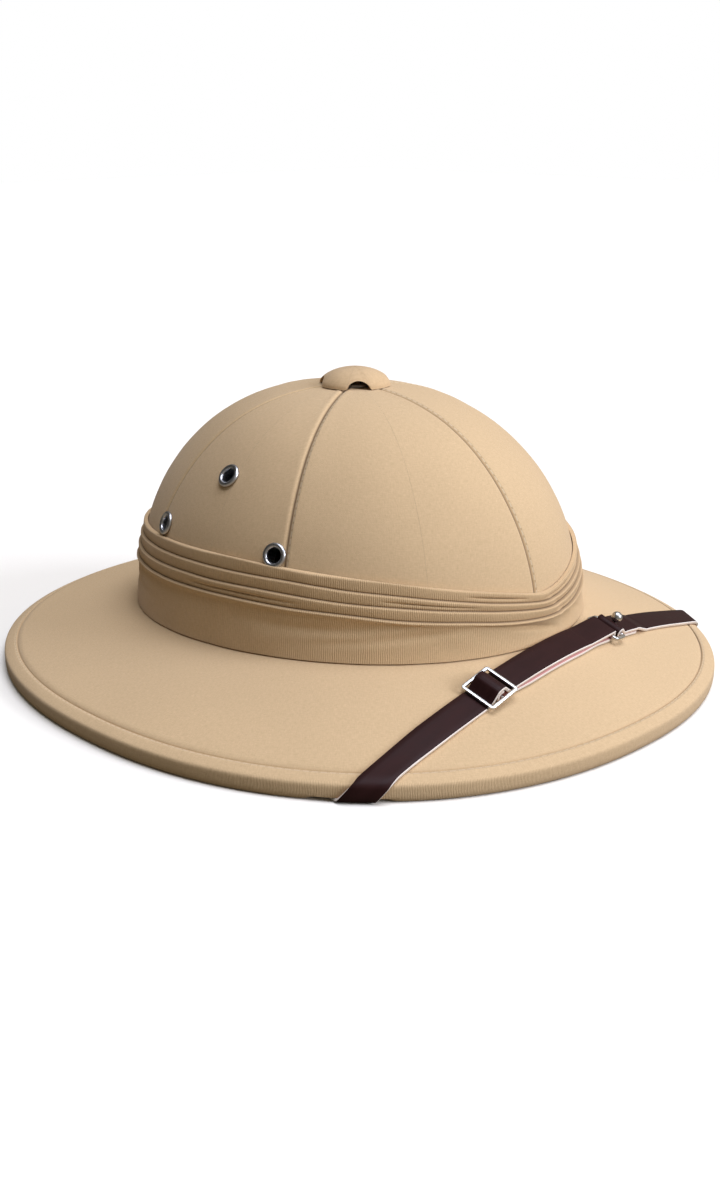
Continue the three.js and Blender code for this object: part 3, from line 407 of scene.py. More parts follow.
def surface(name, columns, rows, point, ring_columns=False, ring_rows=False, uv=None, lines=None):
    """Adds a grid, lays it on a shape and sews the sides that meet.

    point gives the place of a column and row in mm. uv and lines give the cloth's own measure and
    the measure from its seams or fold edges, in mm, for a column and row of the face that starts at a
    column; the lines measure places the painted shadow lines and the stitches.
    """
    clear()
    bpy.ops.mesh.primitive_grid_add(x_subdivisions=columns, y_subdivisions=rows, size=2)
    piece = bpy.context.object
    piece.name = name
    mesh = piece.data
    spots = [(round((v.co.x + 1) / 2 * columns), round((v.co.y + 1) / 2 * rows))
             for v in mesh.vertices]
    places = {}
    for column, row in spots:
        at = (column % columns if ring_columns else column, row % rows if ring_rows else row)
        if at not in places:
            places[at] = point(*at) * MM
        places[(column, row)] = places[at]
    for vertex, spot in zip(mesh.vertices, spots):
        vertex.co = places[spot]
    if uv is None:
        middle = rows // 2
        around = running(places, [(column, middle) for column in range(columns + 1)])
        along = running(places, [(0, row) for row in range(rows + 1)])

        def uv(column, row, start):
            return around[column], along[row]

    layers = [(mesh.uv_layers[0], uv)]
    if lines:
        layers.append((mesh.uv_layers.new(name="lines"), lines))
    for layer, measure in layers:
        for face in mesh.polygons:
            start = min(spots[v][0] for v in face.vertices)
            for loop, vertex in zip(face.loop_indices, face.vertices):
                u, v = measure(*spots[vertex], start)
                layer.data[loop].uv = (u * MM, v * MM)
    mesh.uv_layers[0].name = "measure"
    face_rows = mesh.attributes.new("row", "INT", "FACE")
    for face in mesh.polygons:
        face_rows.data[face.index].value = min(spots[v][1] for v in face.vertices)
    bpy.ops.object.mode_set(mode="EDIT")
    bpy.ops.mesh.select_all(action="SELECT")
    bpy.ops.mesh.remove_doubles(threshold=1e-6)
    bpy.ops.mesh.fill_holes(sides=0)
    bpy.ops.mesh.select_all(action="SELECT")
    bpy.ops.mesh.normals_make_consistent(inside=False)
    bpy.ops.object.mode_set(mode="OBJECT")
    bpy.ops.object.shade_smooth_by_angle(angle=math.radians(SMOOTH_UNDER))
    return piece


def running(places, spots):
    total = [0]
    for a, b in zip(spots, spots[1:]):
        total.append(total[-1] + (places[a] - places[b]).length / MM)
    return total


def row_lengths(point, column, rows):
    """The length from the first row to each row, in mm, along one column."""
    total = [0]
    for row in range(1, rows):
        total.append(total[-1] + (point(column, row) - point(column, row - 1)).length)
    return total


def seat(piece, matrix):
    """Puts a piece made about the origin in its place, with the place kept in its mesh."""
    moved = matrix.copy()
    moved.translation = matrix.translation * MM
    piece.data.transform(moved)
    piece.data.update()


def facing(point, direction):
    turn = Vector((0, 0, 1)).rotation_difference(direction).to_matrix().to_4x4()
    turn.translation = point
    return turn


def turned(name, profile, sides, closed=True):
    """A round piece about Z from a profile of [radius, height] pairs."""
    def point(column, row):
        angle = 2 * math.pi * column / sides
        radius, height = profile[row]
        return Vector((radius * math.cos(angle), radius * math.sin(angle), height))
    rows = len(profile) if closed else len(profile) - 1
    return surface(name, sides, rows, point, ring_columns=True, ring_rows=closed)


def join(first, second):
    clear()
    second.select_set(True)
    first.select_set(True)
    bpy.context.view_layer.objects.active = first
    bpy.ops.object.join()
    return first


def carve(piece, cutters):
    for cutter in cutters:
        clear()
        piece.select_set(True)
        bpy.context.view_layer.objects.active = piece
        modifier = piece.modifiers.new("hole", "BOOLEAN")
        modifier.operation = "DIFFERENCE"
        modifier.solver = "EXACT"
        modifier.object = cutter
        bpy.ops.object.modifier_apply(modifier=modifier.name)
        bpy.data.objects.remove(cutter, do_unlink=True)
    return piece


def dress(piece, slot, *materials):
    """Gives a piece its materials and lets it ride on the hat's one body. The slot is not used."""
    for material in materials:
        piece.data.materials.append(material)
    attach(piece, "root")


# Materials. Their measures are in metres, and a scale is in turns of noise for each metre.

KHAKI_LIGHT = (0.72, 0.51, 0.29)
KHAKI_DEEP = (0.5, 0.335, 0.175)
# Painted shadow colour, laid into seam and stitch grooves and into the gap over each band fold's edge
GROOVE_PAINTED_SHADOW = (0.17, 0.1, 0.05)
STITCH_PALE = (0.78, 0.62, 0.4)
PLAIN_THREAD = 0.0006
THREADS = {"drift_scale": 260, "drift": 0.0009, "slub_scale": 1900, "slub_stretch": 0.22,
           "slub_share": 0.75, "contrast": 0.9, "level": -0.4}
STITCHES = {"half_length": 0.34, "half_width": 0.75, "groove_softness": 0.4, "height": 0.0002}
# Where a painted seam shadow starts to grow along a side of the hat, and over how far it reaches full
# strength, in metres
SEAM_SHADOW_FADE = {"from": 0.075, "over": 0.03}
CLOTH = {"mottle_scale": 14, "mottle": 0.12, "least": 0.94, "roughness": 0.88, "sheen": 0.12,
         "sheen_roughness": 0.5, "bump": 0.8}
HIDE = {"streak_scale": 220, "streak_stretch": 0.25, "pore_scale": 2600, "uneven": 0.25,
        "smoother": 0.12, "bump": 0.6}
RUBBING = {"scale": 900, "uneven": 0.22, "worn": 0.2, "least": 0.88, "height": 0.00008, "bump": 0.2}


def socket_group(name, inputs, outputs):
    tree = bpy.data.node_groups.new(name, "ShaderNodeTree")
    for title, kind, default in inputs:
        entry = tree.interface.new_socket(title, in_out="INPUT", socket_type=kind)
        if default is not None:
            entry.default_value = default
    for title, kind in outputs:
        tree.interface.new_socket(title, in_out="OUTPUT", socket_type=kind)
    return tree, tree.nodes.new("NodeGroupInput"), tree.nodes.new("NodeGroupOutput")


def math_node(tree, operation, first, second=None, third=None, clamp=False):
    node = tree.nodes.new("ShaderNodeMath")
    node.operation = operation
    node.use_clamp = clamp
    for i, value in enumerate((first, second, third)):
        if value is None:
            continue
        if isinstance(value, (int, float)):
            node.inputs[i].default_value = value
        else:
            tree.links.new(value, node.inputs[i])
    return node.outputs[0]


def noise_node(tree, vector, scale, detail=3, roughness=0.55):
    node = tree.nodes.new("ShaderNodeTexNoise")
    node.inputs["Scale"].default_value = scale
    node.inputs["Detail"].default_value = detail
    node.inputs["Roughness"].default_value = roughness
    tree.links.new(vector, node.inputs["Vector"])
    return node.outputs["Fac"]


def mix_colour(tree, share, first, second, blend="MIX"):
    node = tree.nodes.new("ShaderNodeMix")
    node.data_type = "RGBA"
    node.blend_type = blend
    colours = [entry for entry in node.inputs if entry.type == "RGBA"]
    factor = node.inputs[0]
    for entry, value in ((factor, share), (colours[0], first), (colours[1], second)):
        if isinstance(value, tuple):
            entry.default_value = (*value, 1)
        elif isinstance(value, (int, float)):
            entry.default_value = value
        else:
            tree.links.new(value, entry)
    return [entry for entry in node.outputs if entry.type == "RGBA"][0]


def stretched(tree, vector, stretch):
    node = tree.nodes.new("ShaderNodeMapping")
    node.inputs["Scale"].default_value = stretch
    tree.links.new(vector, node.inputs["Vector"])
    return node.outputs[0]


def parts_of(tree, vector):
    node = tree.nodes.new("ShaderNodeSeparateXYZ")
    tree.links.new(vector, node.inputs[0])
    return node.outputs


def bump(tree, shader, height, strength):
    """Raises and sinks a material by a height in metres."""
    node = tree.nodes.new("ShaderNodeBump")
    node.inputs["Strength"].default_value = strength
    node.inputs["Distance"].default_value = 1.0
    tree.links.new(height, node.inputs["Height"])
    tree.links.new(node.outputs[0], shader.inputs["Normal"])


def weave_group():
    """Crossing threads: how much of the pale thread shows, and how high the cloth stands."""
    tree, given, result = socket_group("woven threads", [
        ("Vector", "NodeSocketVector", None), ("Thread", "NodeSocketFloat", PLAIN_THREAD),
        ("Ribs", "NodeSocketFloat", 0.0)], [("Mask", "NodeSocketFloat"), ("Height", "NodeSocketFloat")])
    split = parts_of(tree, given.outputs["Vector"])
    uneven = noise_node(tree, given.outputs["Vector"], THREADS["drift_scale"], 2)
    shift = math_node(tree, "MULTIPLY", uneven, THREADS["drift"])
    threads = []
    for axis in (0, 1):
        moved = math_node(tree, "ADD", split[axis], shift)
        turns = math_node(tree, "DIVIDE", moved, given.outputs["Thread"])
        threads.append(math_node(tree, "SINE", math_node(tree, "MULTIPLY", turns, 2 * math.pi)))
    crossing = math_node(tree, "MULTIPLY", threads[0], threads[1])
    plain = math_node(tree, "MULTIPLY_ADD", crossing, 0.5, 0.5)
    ribbed = math_node(tree, "MULTIPLY_ADD", threads[0], 0.5, 0.5)
    blend = tree.nodes.new("ShaderNodeMix")
    tree.links.new(given.outputs["Ribs"], blend.inputs[0])
    tree.links.new(plain, blend.inputs[2])
    tree.links.new(ribbed, blend.inputs[3])
    tree.links.new(blend.outputs[0], result.inputs["Height"])
    slubs = []
    for stretch in ((1, THREADS["slub_stretch"], 1), (THREADS["slub_stretch"], 1, 1)):
        drawn = stretched(tree, given.outputs["Vector"], stretch)
        slubs.append(noise_node(tree, drawn, THREADS["slub_scale"], 2))
    both = math_node(tree, "ADD", *slubs)
    spread = math_node(tree, "MULTIPLY_ADD", both, THREADS["contrast"], THREADS["level"])
    crossed = math_node(tree, "MULTIPLY", blend.outputs[0], 1 - THREADS["slub_share"])
    share = math_node(tree, "MULTIPLY_ADD", spread, THREADS["slub_share"], crossed, clamp=True)
    tree.links.new(share, result.inputs["Mask"])
    return tree


def stitch_group():
    """A row of stitches along a line: thread, and the shadow in the needle's groove."""
    tree, given, result = socket_group("stitched line", [
        ("Vector", "NodeSocketVector", None), ("Line", "NodeSocketFloat", 0.0),
        ("Half Width", "NodeSocketFloat", 0.0003), ("Pitch", "NodeSocketFloat", 0.003)],
        [("Thread", "NodeSocketFloat"), ("Groove", "NodeSocketFloat")])
    beside, along = parts_of(tree, given.outputs["Vector"])[:2]
    away = math_node(tree, "ABSOLUTE", math_node(tree, "SUBTRACT", beside, given.outputs["Line"]))
    share = math_node(tree, "DIVIDE", away, given.outputs["Half Width"])
    nearest = math_node(tree, "SMOOTH_MIN", share, 1, STITCHES["groove_softness"])
    groove = math_node(tree, "SUBTRACT", 1, nearest, clamp=True)
    step = math_node(tree, "FRACT", math_node(tree, "DIVIDE", along, given.outputs["Pitch"]))
    from_middle = math_node(tree, "ABSOLUTE", math_node(tree, "SUBTRACT", step, 0.5))
    dash = math_node(tree, "LESS_THAN", from_middle, STITCHES["half_length"])
    line = math_node(tree, "LESS_THAN", share, STITCHES["half_width"])
    tree.links.new(math_node(tree, "MULTIPLY", dash, line), result.inputs["Thread"])
    tree.links.new(groove, result.inputs["Groove"])
    return tree


def new_material(name):
    material = bpy.data.materials.new(name)
    material.use_nodes = True
    tree = material.node_tree
    shader = tree.nodes["Principled BSDF"]
    return material, tree, shader


def group_node(tree, group, **values):
    node = tree.nodes.new("ShaderNodeGroup")
    node.node_tree = group
    for title, value in values.items():
        entry = node.inputs[title.replace("_", " ")]
        if isinstance(value, (int, float)):
            entry.default_value = value
        else:
            tree.links.new(value, entry)
    return node


def uv_node(tree, name):
    node = tree.nodes.new("ShaderNodeUVMap")
    node.uv_map = name
    return node.outputs[0]


WEAVE = weave_group()
STITCH = stitch_group()


def shadow_side_share(tree, coordinates, side, least):
    """How strong a painted shadow line is: full on one side of the hat, and the least share elsewhere.
    """
    towards = tree.nodes.new("ShaderNodeVectorMath")
    towards.operation = "DOT_PRODUCT"
    tree.links.new(coordinates, towards.inputs[0])
    towards.inputs[1].default_value = side
    reach = towards.outputs["Value"]
    start, over = SEAM_SHADOW_FADE["from"], SEAM_SHADOW_FADE["over"]
    share = math_node(tree, "MULTIPLY_ADD", reach, 1 / over, -start / over, clamp=True)
    return math_node(tree, "MULTIPLY_ADD", share, 1 - least, least)


def cloth(name, thread=PLAIN_THREAD, ribs=0.0, rib_strength=0.00012, seam=None, stitches=(),
          tint=(1, 1, 1), ribbed_to=None):
    """Khaki cloth with its weave, soft colour changes, a painted shadow line and rows of stitches."""
    material, tree, shader = new_material(name)
    measure = uv_node(tree, "measure")
    weave = group_node(tree, WEAVE, Vector=measure, Thread=thread, Ribs=ribs)
    lines = uv_node(tree, "lines") if seam or stitches else None
    if ribbed_to:
        inset = parts_of(tree, lines)[0]
        tree.links.new(math_node(tree, "LESS_THAN", inset, ribbed_to), weave.inputs["Ribs"])
    colour = mix_colour(tree, weave.outputs["Mask"], KHAKI_DEEP, KHAKI_LIGHT)
    coordinates = tree.nodes.new("ShaderNodeTexCoord").outputs["Object"]
    broad = noise_node(tree, coordinates, CLOTH["mottle_scale"])
    mottle = math_node(tree, "MULTIPLY_ADD", broad, CLOTH["mottle"], CLOTH["least"])
    toned = mix_colour(tree, 1.0, colour, mottle, "MULTIPLY")
    toned = mix_colour(tree, 1.0, toned, tint, "MULTIPLY")
    height = math_node(tree, "MULTIPLY", weave.outputs["Height"], rib_strength)
    # A painted shadow line in a seam's groove or just over a fold's edge, at full strength only on one
    # side of the hat where a side is given
    if seam:
        line = group_node(tree, STITCH, Vector=lines, Line=seam["line"], Half_Width=seam["half"],
                          Pitch=1.0)
        strength = math_node(tree, "MULTIPLY", line.outputs["Groove"], seam["dark"])
        if "side" in seam:
            shown = shadow_side_share(tree, coordinates, seam["side"], seam["least"])
            strength = math_node(tree, "MULTIPLY", strength, shown)
        toned = mix_colour(tree, strength, toned, GROOVE_PAINTED_SHADOW)
    for row in stitches:
        line = group_node(tree, STITCH, Vector=lines, Line=row["line"], Half_Width=row["half"],
                          Pitch=row["pitch"])
        # Painted shadow in the stitch row's groove, then the pale thread over it
        toned = mix_colour(tree, math_node(tree, "MULTIPLY", line.outputs["Groove"], row["dark"]),
                           toned, GROOVE_PAINTED_SHADOW)
        toned = mix_colour(tree, math_node(tree, "MULTIPLY", line.outputs["Thread"], row["pale"]),
                           toned, STITCH_PALE)
        raised = math_node(tree, "MULTIPLY", line.outputs["Thread"], STITCHES["height"])
        sunk = math_node(tree, "MULTIPLY", line.outputs["Groove"], -STITCHES["height"])
        height = math_node(tree, "ADD", height, math_node(tree, "ADD", raised, sunk))
    bump(tree, shader, height, CLOTH["bump"])
    tree.links.new(toned, shader.inputs["Base Color"])
    shader.inputs["Roughness"].default_value = CLOTH["roughness"]
    shader.inputs["Sheen Weight"].default_value = CLOTH["sheen"]
    shader.inputs["Sheen Roughness"].default_value = CLOTH["sheen_roughness"]
    return material


def leather(name, dark, light, roughness, grain, specular=0.5):
    """Leather with streaks along it and fine pores."""
    material, tree, shader = new_material(name)
    measure = uv_node(tree, "measure")
    along = stretched(tree, measure, (HIDE["streak_stretch"], 1, 1))
    streaks = noise_node(tree, along, HIDE["streak_scale"], 4)
    tree.links.new(mix_colour(tree, streaks, dark, light), shader.inputs["Base Color"])
    pores = noise_node(tree, measure, HIDE["pore_scale"])
    uneven = math_node(tree, "MULTIPLY_ADD", streaks, HIDE["uneven"], roughness - HIDE["smoother"])
    tree.links.new(uneven, shader.inputs["Roughness"])
    height = math_node(tree, "MULTIPLY", math_node(tree, "ADD", pores, streaks), grain)
    bump(tree, shader, height, HIDE["bump"])
    shader.inputs["Specular IOR Level"].default_value = specular
    return material


def metal(name, colour, roughness):
    """Satin metal, rubbed unevenly."""
    material, tree, shader = new_material(name)
    coordinates = tree.nodes.new("ShaderNodeTexCoord").outputs["Object"]
    rubbed = noise_node(tree, coordinates, RUBBING["scale"], 4)
    least = roughness - RUBBING["uneven"] / 2
    uneven = math_node(tree, "MULTIPLY_ADD", rubbed, RUBBING["uneven"], least)
    tree.links.new(uneven, shader.inputs["Roughness"])
    worn = math_node(tree, "MULTIPLY_ADD", rubbed, RUBBING["worn"], RUBBING["least"])
    tree.links.new(mix_colour(tree, 1.0, colour, worn, "MULTIPLY"), shader.inputs["Base Color"])
    shader.inputs["Metallic"].default_value = 1.0
    bump(tree, shader, math_node(tree, "MULTIPLY", rubbed, RUBBING["height"]), RUBBING["bump"])
    return material


# The seam entries paint shadow into the crown's sunk seams and along the step of the brim's binding,
# there fully only on one side
CROWN_CLOTH = cloth(
    "crown cloth", seam={"line": 0.0, "half": 0.00065, "dark": 0.95},
    stitches=[{"line": -0.0013, "half": 0.0004, "pitch": 0.0034, "dark": 0.3, "pale": 0.6}])
BRIM_CLOTH = cloth(
    "brim cloth", ribbed_to=0.0012,
    seam={"line": 0.0062, "half": 0.00055, "dark": 0.95, "side": (0.85, -0.1, 0), "least": 0.22},
    stitches=[{"line": 0.0052, "half": 0.0004, "pitch": 0.0036, "dark": 0.15, "pale": 0.3}])
# The band's seam entry paints the shadow in the gap just over each fold's edge and along the middle of
# the finer pleats
BAND_CLOTH = cloth(
    "band cloth", thread=0.00095, ribs=0.8, rib_strength=0.00016, tint=(0.96, 0.94, 0.91),
    seam={"line": 0.00032, "half": 0.00042, "dark": 0.92})
CAP_CLOTH = cloth("cap cloth", tint=(0.96, 0.94, 0.92))
STRAP_GRAIN = leather("dark brown leather", (0.015, 0.004, 0.0037), (0.034, 0.0102, 0.0095), 0.5,
                      0.00005, 0.13)
STRAP_EDGE = leather("cut edge of the leather", (0.66, 0.56, 0.48), (0.9, 0.82, 0.74), 0.8, 0.00006)
STRAP_FLESH = leather("flesh side of the leather", (0.42, 0.17, 0.15), (0.6, 0.3, 0.27), 0.85, 0.0001)
STRAP_METAL = metal("satin silver fittings", (0.62, 0.61, 0.6), 0.27)
EYELET_METAL = metal("satin eyelet metal", (0.55, 0.55, 0.57), 0.3)
VENT_METAL = metal("dull grey vent metal", (0.3, 0.31, 0.33), 0.45)


# Crown: six gores of cloth over the pith, with a sunk seam between each two

def crown_columns():
    columns = []
    for i, seam in enumerate(SEAM_TURNS):
        following = SEAM_TURNS[i + 1] if i + 1 < len(SEAM_TURNS) else 360
        gore = {"from": seam, "to": following}
        columns += [{**gore, "off": off} for off in SEAM_OFFSETS[:-1]]
        columns += [{**gore, "share": k / PANEL_COLUMNS} for k in range(PANEL_COLUMNS + 1)]
        columns += [{**gore, "off": -off} for off in reversed(SEAM_OFFSETS[1:-1])]
    return columns


def build_crown():
    columns = crown_columns()
    seam_reach = SEAM_OFFSETS[-1]

    def face_rows(side):
        """The rows of the wall's outer or inner face, from its foot to just short of the vent hole."""
        face = CROWN_FACES[side]
        found = [(side, None)]
        top = crown_level_at(VENT_HOLE_RADIUS + face["short_of_hole"], 0, face["inset"])
        for row in range(face["first"], face["rows"]):
            climb = math.sin(math.radians(row / face["rows"] * 90)) ** (2 / CROWN_TAPER)
            level = BASE_LEVEL + (CROWN_HEIGHT - face["inset"]) * climb
            if level < top:
                found.append((side, level))
        return found

    section = face_rows("outer") + [("hole", 0), ("hole", CROWN_WALL)] + face_rows("inner")[::-1]

    def turn_of(column, radius):
        entry = columns[column % len(columns)]
        low, high = entry["from"], entry["to"]
        if "off" in entry:
            edge = low if entry["off"] >= 0 else high
            return math.radians(edge) + entry["off"] / radius, abs(entry["off"])
        reach = math.degrees(seam_reach / radius)
        turn = lerp(low + reach, high - reach, entry["share"])
        away = min(entry["share"], 1 - entry["share"]) * math.radians(high - low - 2 * reach) * radius
        return math.radians(turn), seam_reach + away

    def radius_at(row):
        side, up = section[row % len(section)]
        if side == "hole":
            return VENT_HOLE_RADIUS
        level = BASE_LEVEL + PANEL_FOOT if up is None else up
        share = crown_share((level - BASE_LEVEL) / (CROWN_HEIGHT - CROWN_FACES[side]["inset"]))
        return max(VENT_HOLE_RADIUS, PANEL_RADIUS * share)

    def point(column, row):
        side, up = section[row]
        turn, away = turn_of(column, radius_at(row))
        if side == "hole":
            level = crown_level_at(VENT_HOLE_RADIUS, turn, up)
            return place(VENT_HOLE_RADIUS * math.cos(turn), VENT_HOLE_RADIUS * math.sin(turn), level)
        foot = junction_level(turn) + GAP
        level = foot if up is None else max(up, foot)
        at = crown_point(turn, level, CROWN_FACES[side]["inset"])
        if side == "inner":
            return at
        soft = unevenness(at, CROWN_UNEVENNESS)
        sunk = SEAM_DEPTH * (1 - smooth(away / SEAM_HALF_WIDTH))
        beside = abs(away - SEAM_SWELL["away"]) / SEAM_SWELL["reach"]
        swell = SEAM_SWELL["height"] * (1 - smooth(beside))
        return at + crown_normal(turn, at.z) * (soft + swell - sunk)

    lengths = row_lengths(point, MEASURED_COLUMN, len(section))
    lengths.append(lengths[-1] + CROWN_WALL)

    def gore_turn(column, row, start):
        """The signed distance across the gore that the face belongs to."""
        entry = columns[start % len(columns)]
        radius = radius_at(row)
        turn, _ = turn_of(column, radius)
        middle = math.radians((entry["from"] + entry["to"]) / 2)
        away = math.atan2(math.sin(turn - middle), math.cos(turn - middle))
        return away * radius, math.radians(entry["to"] - entry["from"]) / 2 * radius

    def measure(column, row, start):
        across, _ = gore_turn(column, row, start)
        return across, lengths[row]

    def from_seam(column, row, start):
        across, half = gore_turn(column, row, start)
        return (across + half if across < 0 else across - half), lengths[row]

    piece = surface("crown_gores", len(columns), len(section), point, True, True, measure, from_seam)
    holes = []
    size = {"radius": (EYELET["tube"] + GAP) * MM, "depth": EYELET["cut_depth"] * MM}
    for _, at, direction in eyelet_places():
        clear()
        bpy.ops.mesh.primitive_cylinder_add(vertices=EYELET["cut_sides"], **size)
        cutter = bpy.context.object
        seat(cutter, facing(at, direction))
        holes.append(cutter)
    carve(piece, holes)
    dress(piece, "crown_cloth", CROWN_CLOTH)
    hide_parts("crown")


# Brim: one turned shape with a stitched binding round its rim

def rim_point(angle):
    reach = rim_reach(math.cos(angle), math.sin(angle))
    return Vector((reach * math.cos(angle), reach * math.sin(angle)))


def rim_outward(angle):
    at = rim_point(angle)
    power = RIM_SQUARENESS - 1
    pull = [math.copysign(abs(value) ** power, value) / half ** RIM_SQUARENESS
            for value, half in zip(at, (RIM_HALF_LENGTH, RIM_HALF_WIDTH))]
    return Vector(pull).normalized()


def at_rim(angle, inset, up):
    spot = rim_point(angle) - rim_outward(angle) * inset
    return place(spot.x, spot.y, up)


def strap_forward(right):
    bend = max(0, STRAP_BEND["from"] - right) / STRAP_BEND["span"]
    return STRAP_FORWARD - STRAP_BEND["back"] * bend ** STRAP_BEND["power"]


def crossing_angle(side, inset):
    """Where the strap's outer edge crosses a line at an inset round the rim."""
    low, high = map(math.radians, CROSSING_RANGE)
    while high - low > 1e-6:
        half = (low + high) / 2
        spot = at_rim(side * half, inset, 0)
        forward, right = -spot.y, -spot.x
        slope = strap_forward(right + 0.5) - strap_forward(right - 0.5)
        if (forward - strap_forward(right)) / math.hypot(1, slope) > PLAN_SHARE * STRAP_WIDTH / 2:
            low = half
        else:
            high = half
    return low


def turn_angles(side, slant, row):
    reach = rim_point(side * crossing_angle(side, 0)).length
    row = row / reach
    edges = []
    for i, entry in enumerate(TURN_SECTION):
        if i < STRAIGHT_ROWS:
            edges.append(crossing_angle(side, entry["inset"]))
        else:
            before = TURN_SECTION[i - 1]
            step = math.hypot(entry["inset"] - before["inset"], entry["up"] - before["up"])
            edges.append(edges[-1] + step * math.tan(math.radians(slant)) / reach)
    widening = ROW_WIDENING + (1,) * (len(edges) - len(ROW_WIDENING))
    return [(edge, edge + row * wider) for edge, wider in zip(edges, widening)]


def dents():
    found = []
    for turn in TURNS.values():
        under = turn_angles(**turn)[-UNDER_ROWS - 1:]
        ramp = DENT_RAMP / rim_point(turn["side"] * under[0][0]).length
        found.append({"side": turn["side"], "from": under[0][0], "to": under[-1][1], "ramp": ramp})
    return found


def build_brim():
    pressed = dents()

    def dent_at(angle):
        signed = (angle + math.pi) % (2 * math.pi) - math.pi
        deepest = 0
        for dent in pressed:
            away = max(dent["from"] - dent["side"] * signed, dent["side"] * signed - dent["to"], 0)
            deepest = max(deepest, DENT * (1 - smooth(away / dent["ramp"])))
        return deepest

    section = [("top", k / BRIM_TOP_ROWS) for k in range(BRIM_TOP_ROWS)]
    section += [("rim", entry) for entry in RIM_SECTION]
    section += [("under", k / BRIM_UNDER_ROWS) for k in range(1, BRIM_UNDER_ROWS + 1)]

    def point(column, row):
        angle = 2 * math.pi * column / BRIM_COLUMNS
        forward, right = math.cos(angle), math.sin(angle)
        turn = math.atan2(right / CROWN_HALF_WIDTH, forward / CROWN_HALF_LENGTH)
        crown_edge = 1 / math.hypot(forward / CROWN_HALF_LENGTH, right / CROWN_HALF_WIDTH)
        inner = crown_edge - CROWN_WALL - BAND_SEAT
        edge = rim_reach(forward, right)
        seam = rim_reach(forward, right, SEAM_INSET)
        part, entry = section[row]
        if part == "top":
            share = entry / (1 - 1 / BRIM_TOP_ROWS) - 1 / (BRIM_TOP_ROWS - 1)
            distance = lerp(crown_edge, seam, share)
            if row == 0:
                return place(forward * inner, right * inner, junction_level(turn))
            top = brim_top(forward * distance, right * distance)
            at = place(forward * distance, right * distance, top)
            share = (distance - crown_edge) / (seam - crown_edge)
            soft = unevenness(at, BRIM_UNEVENNESS)
            return at + Vector((0, 0, soft * math.sin(math.pi * min(1, max(0, share)))))
        if part == "rim":
            scaled = entry["inset"] * (edge - seam) / SEAM_INSET
            lift = dent_at(angle) * entry.get("pressed", 0)
            return place(forward * (edge - scaled), right * (edge - scaled), entry["up"] + lift)
        start = edge - RIM_SECTION[-1]["inset"] * (edge - seam) / SEAM_INSET
        distance = lerp(start, inner, entry)
        up = lerp(RIM_SECTION[-1]["up"], junction_level(turn) - BRIM_THICKNESS, entry)
        return place(forward * distance, right * distance, up)

    lengths = row_lengths(point, BRIM_COLUMNS // 4, len(section))
    lengths.append(lengths[-1])

    def measure(column, row, start):
        return 2 * math.pi * RIM_RADIUS * column / BRIM_COLUMNS, lengths[row]

    def from_edge(column, row, start):
        row = row % len(section)
        past = row - BRIM_TOP_ROWS
        inset = AWAY_FROM_SEAM
        if past < 0:
            inset = SEAM_INSET + lengths[BRIM_TOP_ROWS] - lengths[row]
        elif past < RIM_UPPER_ROWS:
            inset = RIM_SECTION[past]["inset"]
        return inset, 2 * math.pi * RIM_RADIUS * column / BRIM_COLUMNS

    piece = surface("brim_cover", BRIM_COLUMNS, len(section), point, True, True, measure, from_edge)
    dress(piece, "brim_cloth", BRIM_CLOTH)
    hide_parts("brim")


# Pleated band: four folds that lap upwards over each other, above one wide length of cloth

def crease_depth(turn, rise):
    depth = 0
    for crease in BAND_CREASES:
        along = degrees_from(turn, crease["turn"])
        share = along / crease["run"]
        if abs(share) < 1:
            off = rise - crease["up"] - crease["rise"] * share
            depth += crease["depth"] * (1 - share * share) * math.exp(-(off / crease["half"]) ** 2)
    return depth


def gathered(fold, turn):
    """How deep the finer pleat below a fold is, from 0 to 1."""
    shares = [0]
    for gather in BAND_GATHERS:
        if gather["fold"] == fold:
            away = abs(degrees_from(turn, gather["turn"])) / gather["half"]
            shares.append(max(0, 1 - away ** 4))
    return max(shares)


def band_steps():
    """The rows of the band's outer face, from its top edge to its foot."""
    steps = []
    for i in range(len(BAND_FOLDS) - 1, -1, -1):
        fold = BAND_FOLDS[i]
        if fold["over"] > 0:
            steps += [{"fold": i, "off": row["off"], "thick": fold["over"] - row["less"]}
                      for row in EDGE_OVER]
        steps += [{"fold": i, "off": row["off"], "thick": fold["under"] - row["less"]}
                  for row in EDGE_UNDER]
        if i > 0:
            start, end = steps[-1]["thick"], BAND_FOLDS[i - 1]["over"]
            steps += [{"fold": i, "to": i - 1, "share": share,
                       "thick": lerp(start, end, share ** PLEAT_FULLNESS)} for share in PLEAT_SHARES]
    return steps + [{"fold": 0, "foot": k / BAND_FOOT_ROWS} for k in range(1, BAND_FOOT_ROWS + 1)]


def round_noise(turn, scale, up):
    """Soft noise that closes round the hat."""
    return noise.noise(Vector((math.cos(turn) * scale, math.sin(turn) * scale, up)))


def band_wander(turn, fold):
    return round_noise(turn, BAND_WANDER["round"], fold * BAND_WANDER["fold"]) * BAND_WANDER["height"]


def lap_height(past):
    """How far the cloth stands out past a crossing, where it laps over the cloth from the other side."""
    if past >= 0:
        lap = FOLD_LAP["height"] * (1 - smooth(past / FOLD_LAP["fade"]))
    else:
        lap = FOLD_LAP["height"] * (1 - smooth(-past / FOLD_LAP["step"]))
        beside = abs(past - FOLD_LAP["groove_at"]) / FOLD_LAP["groove_half"]
        lap -= FOLD_LAP["groove"] * (1 - smooth(beside))
    return lap * FOLD_LAP["share"]


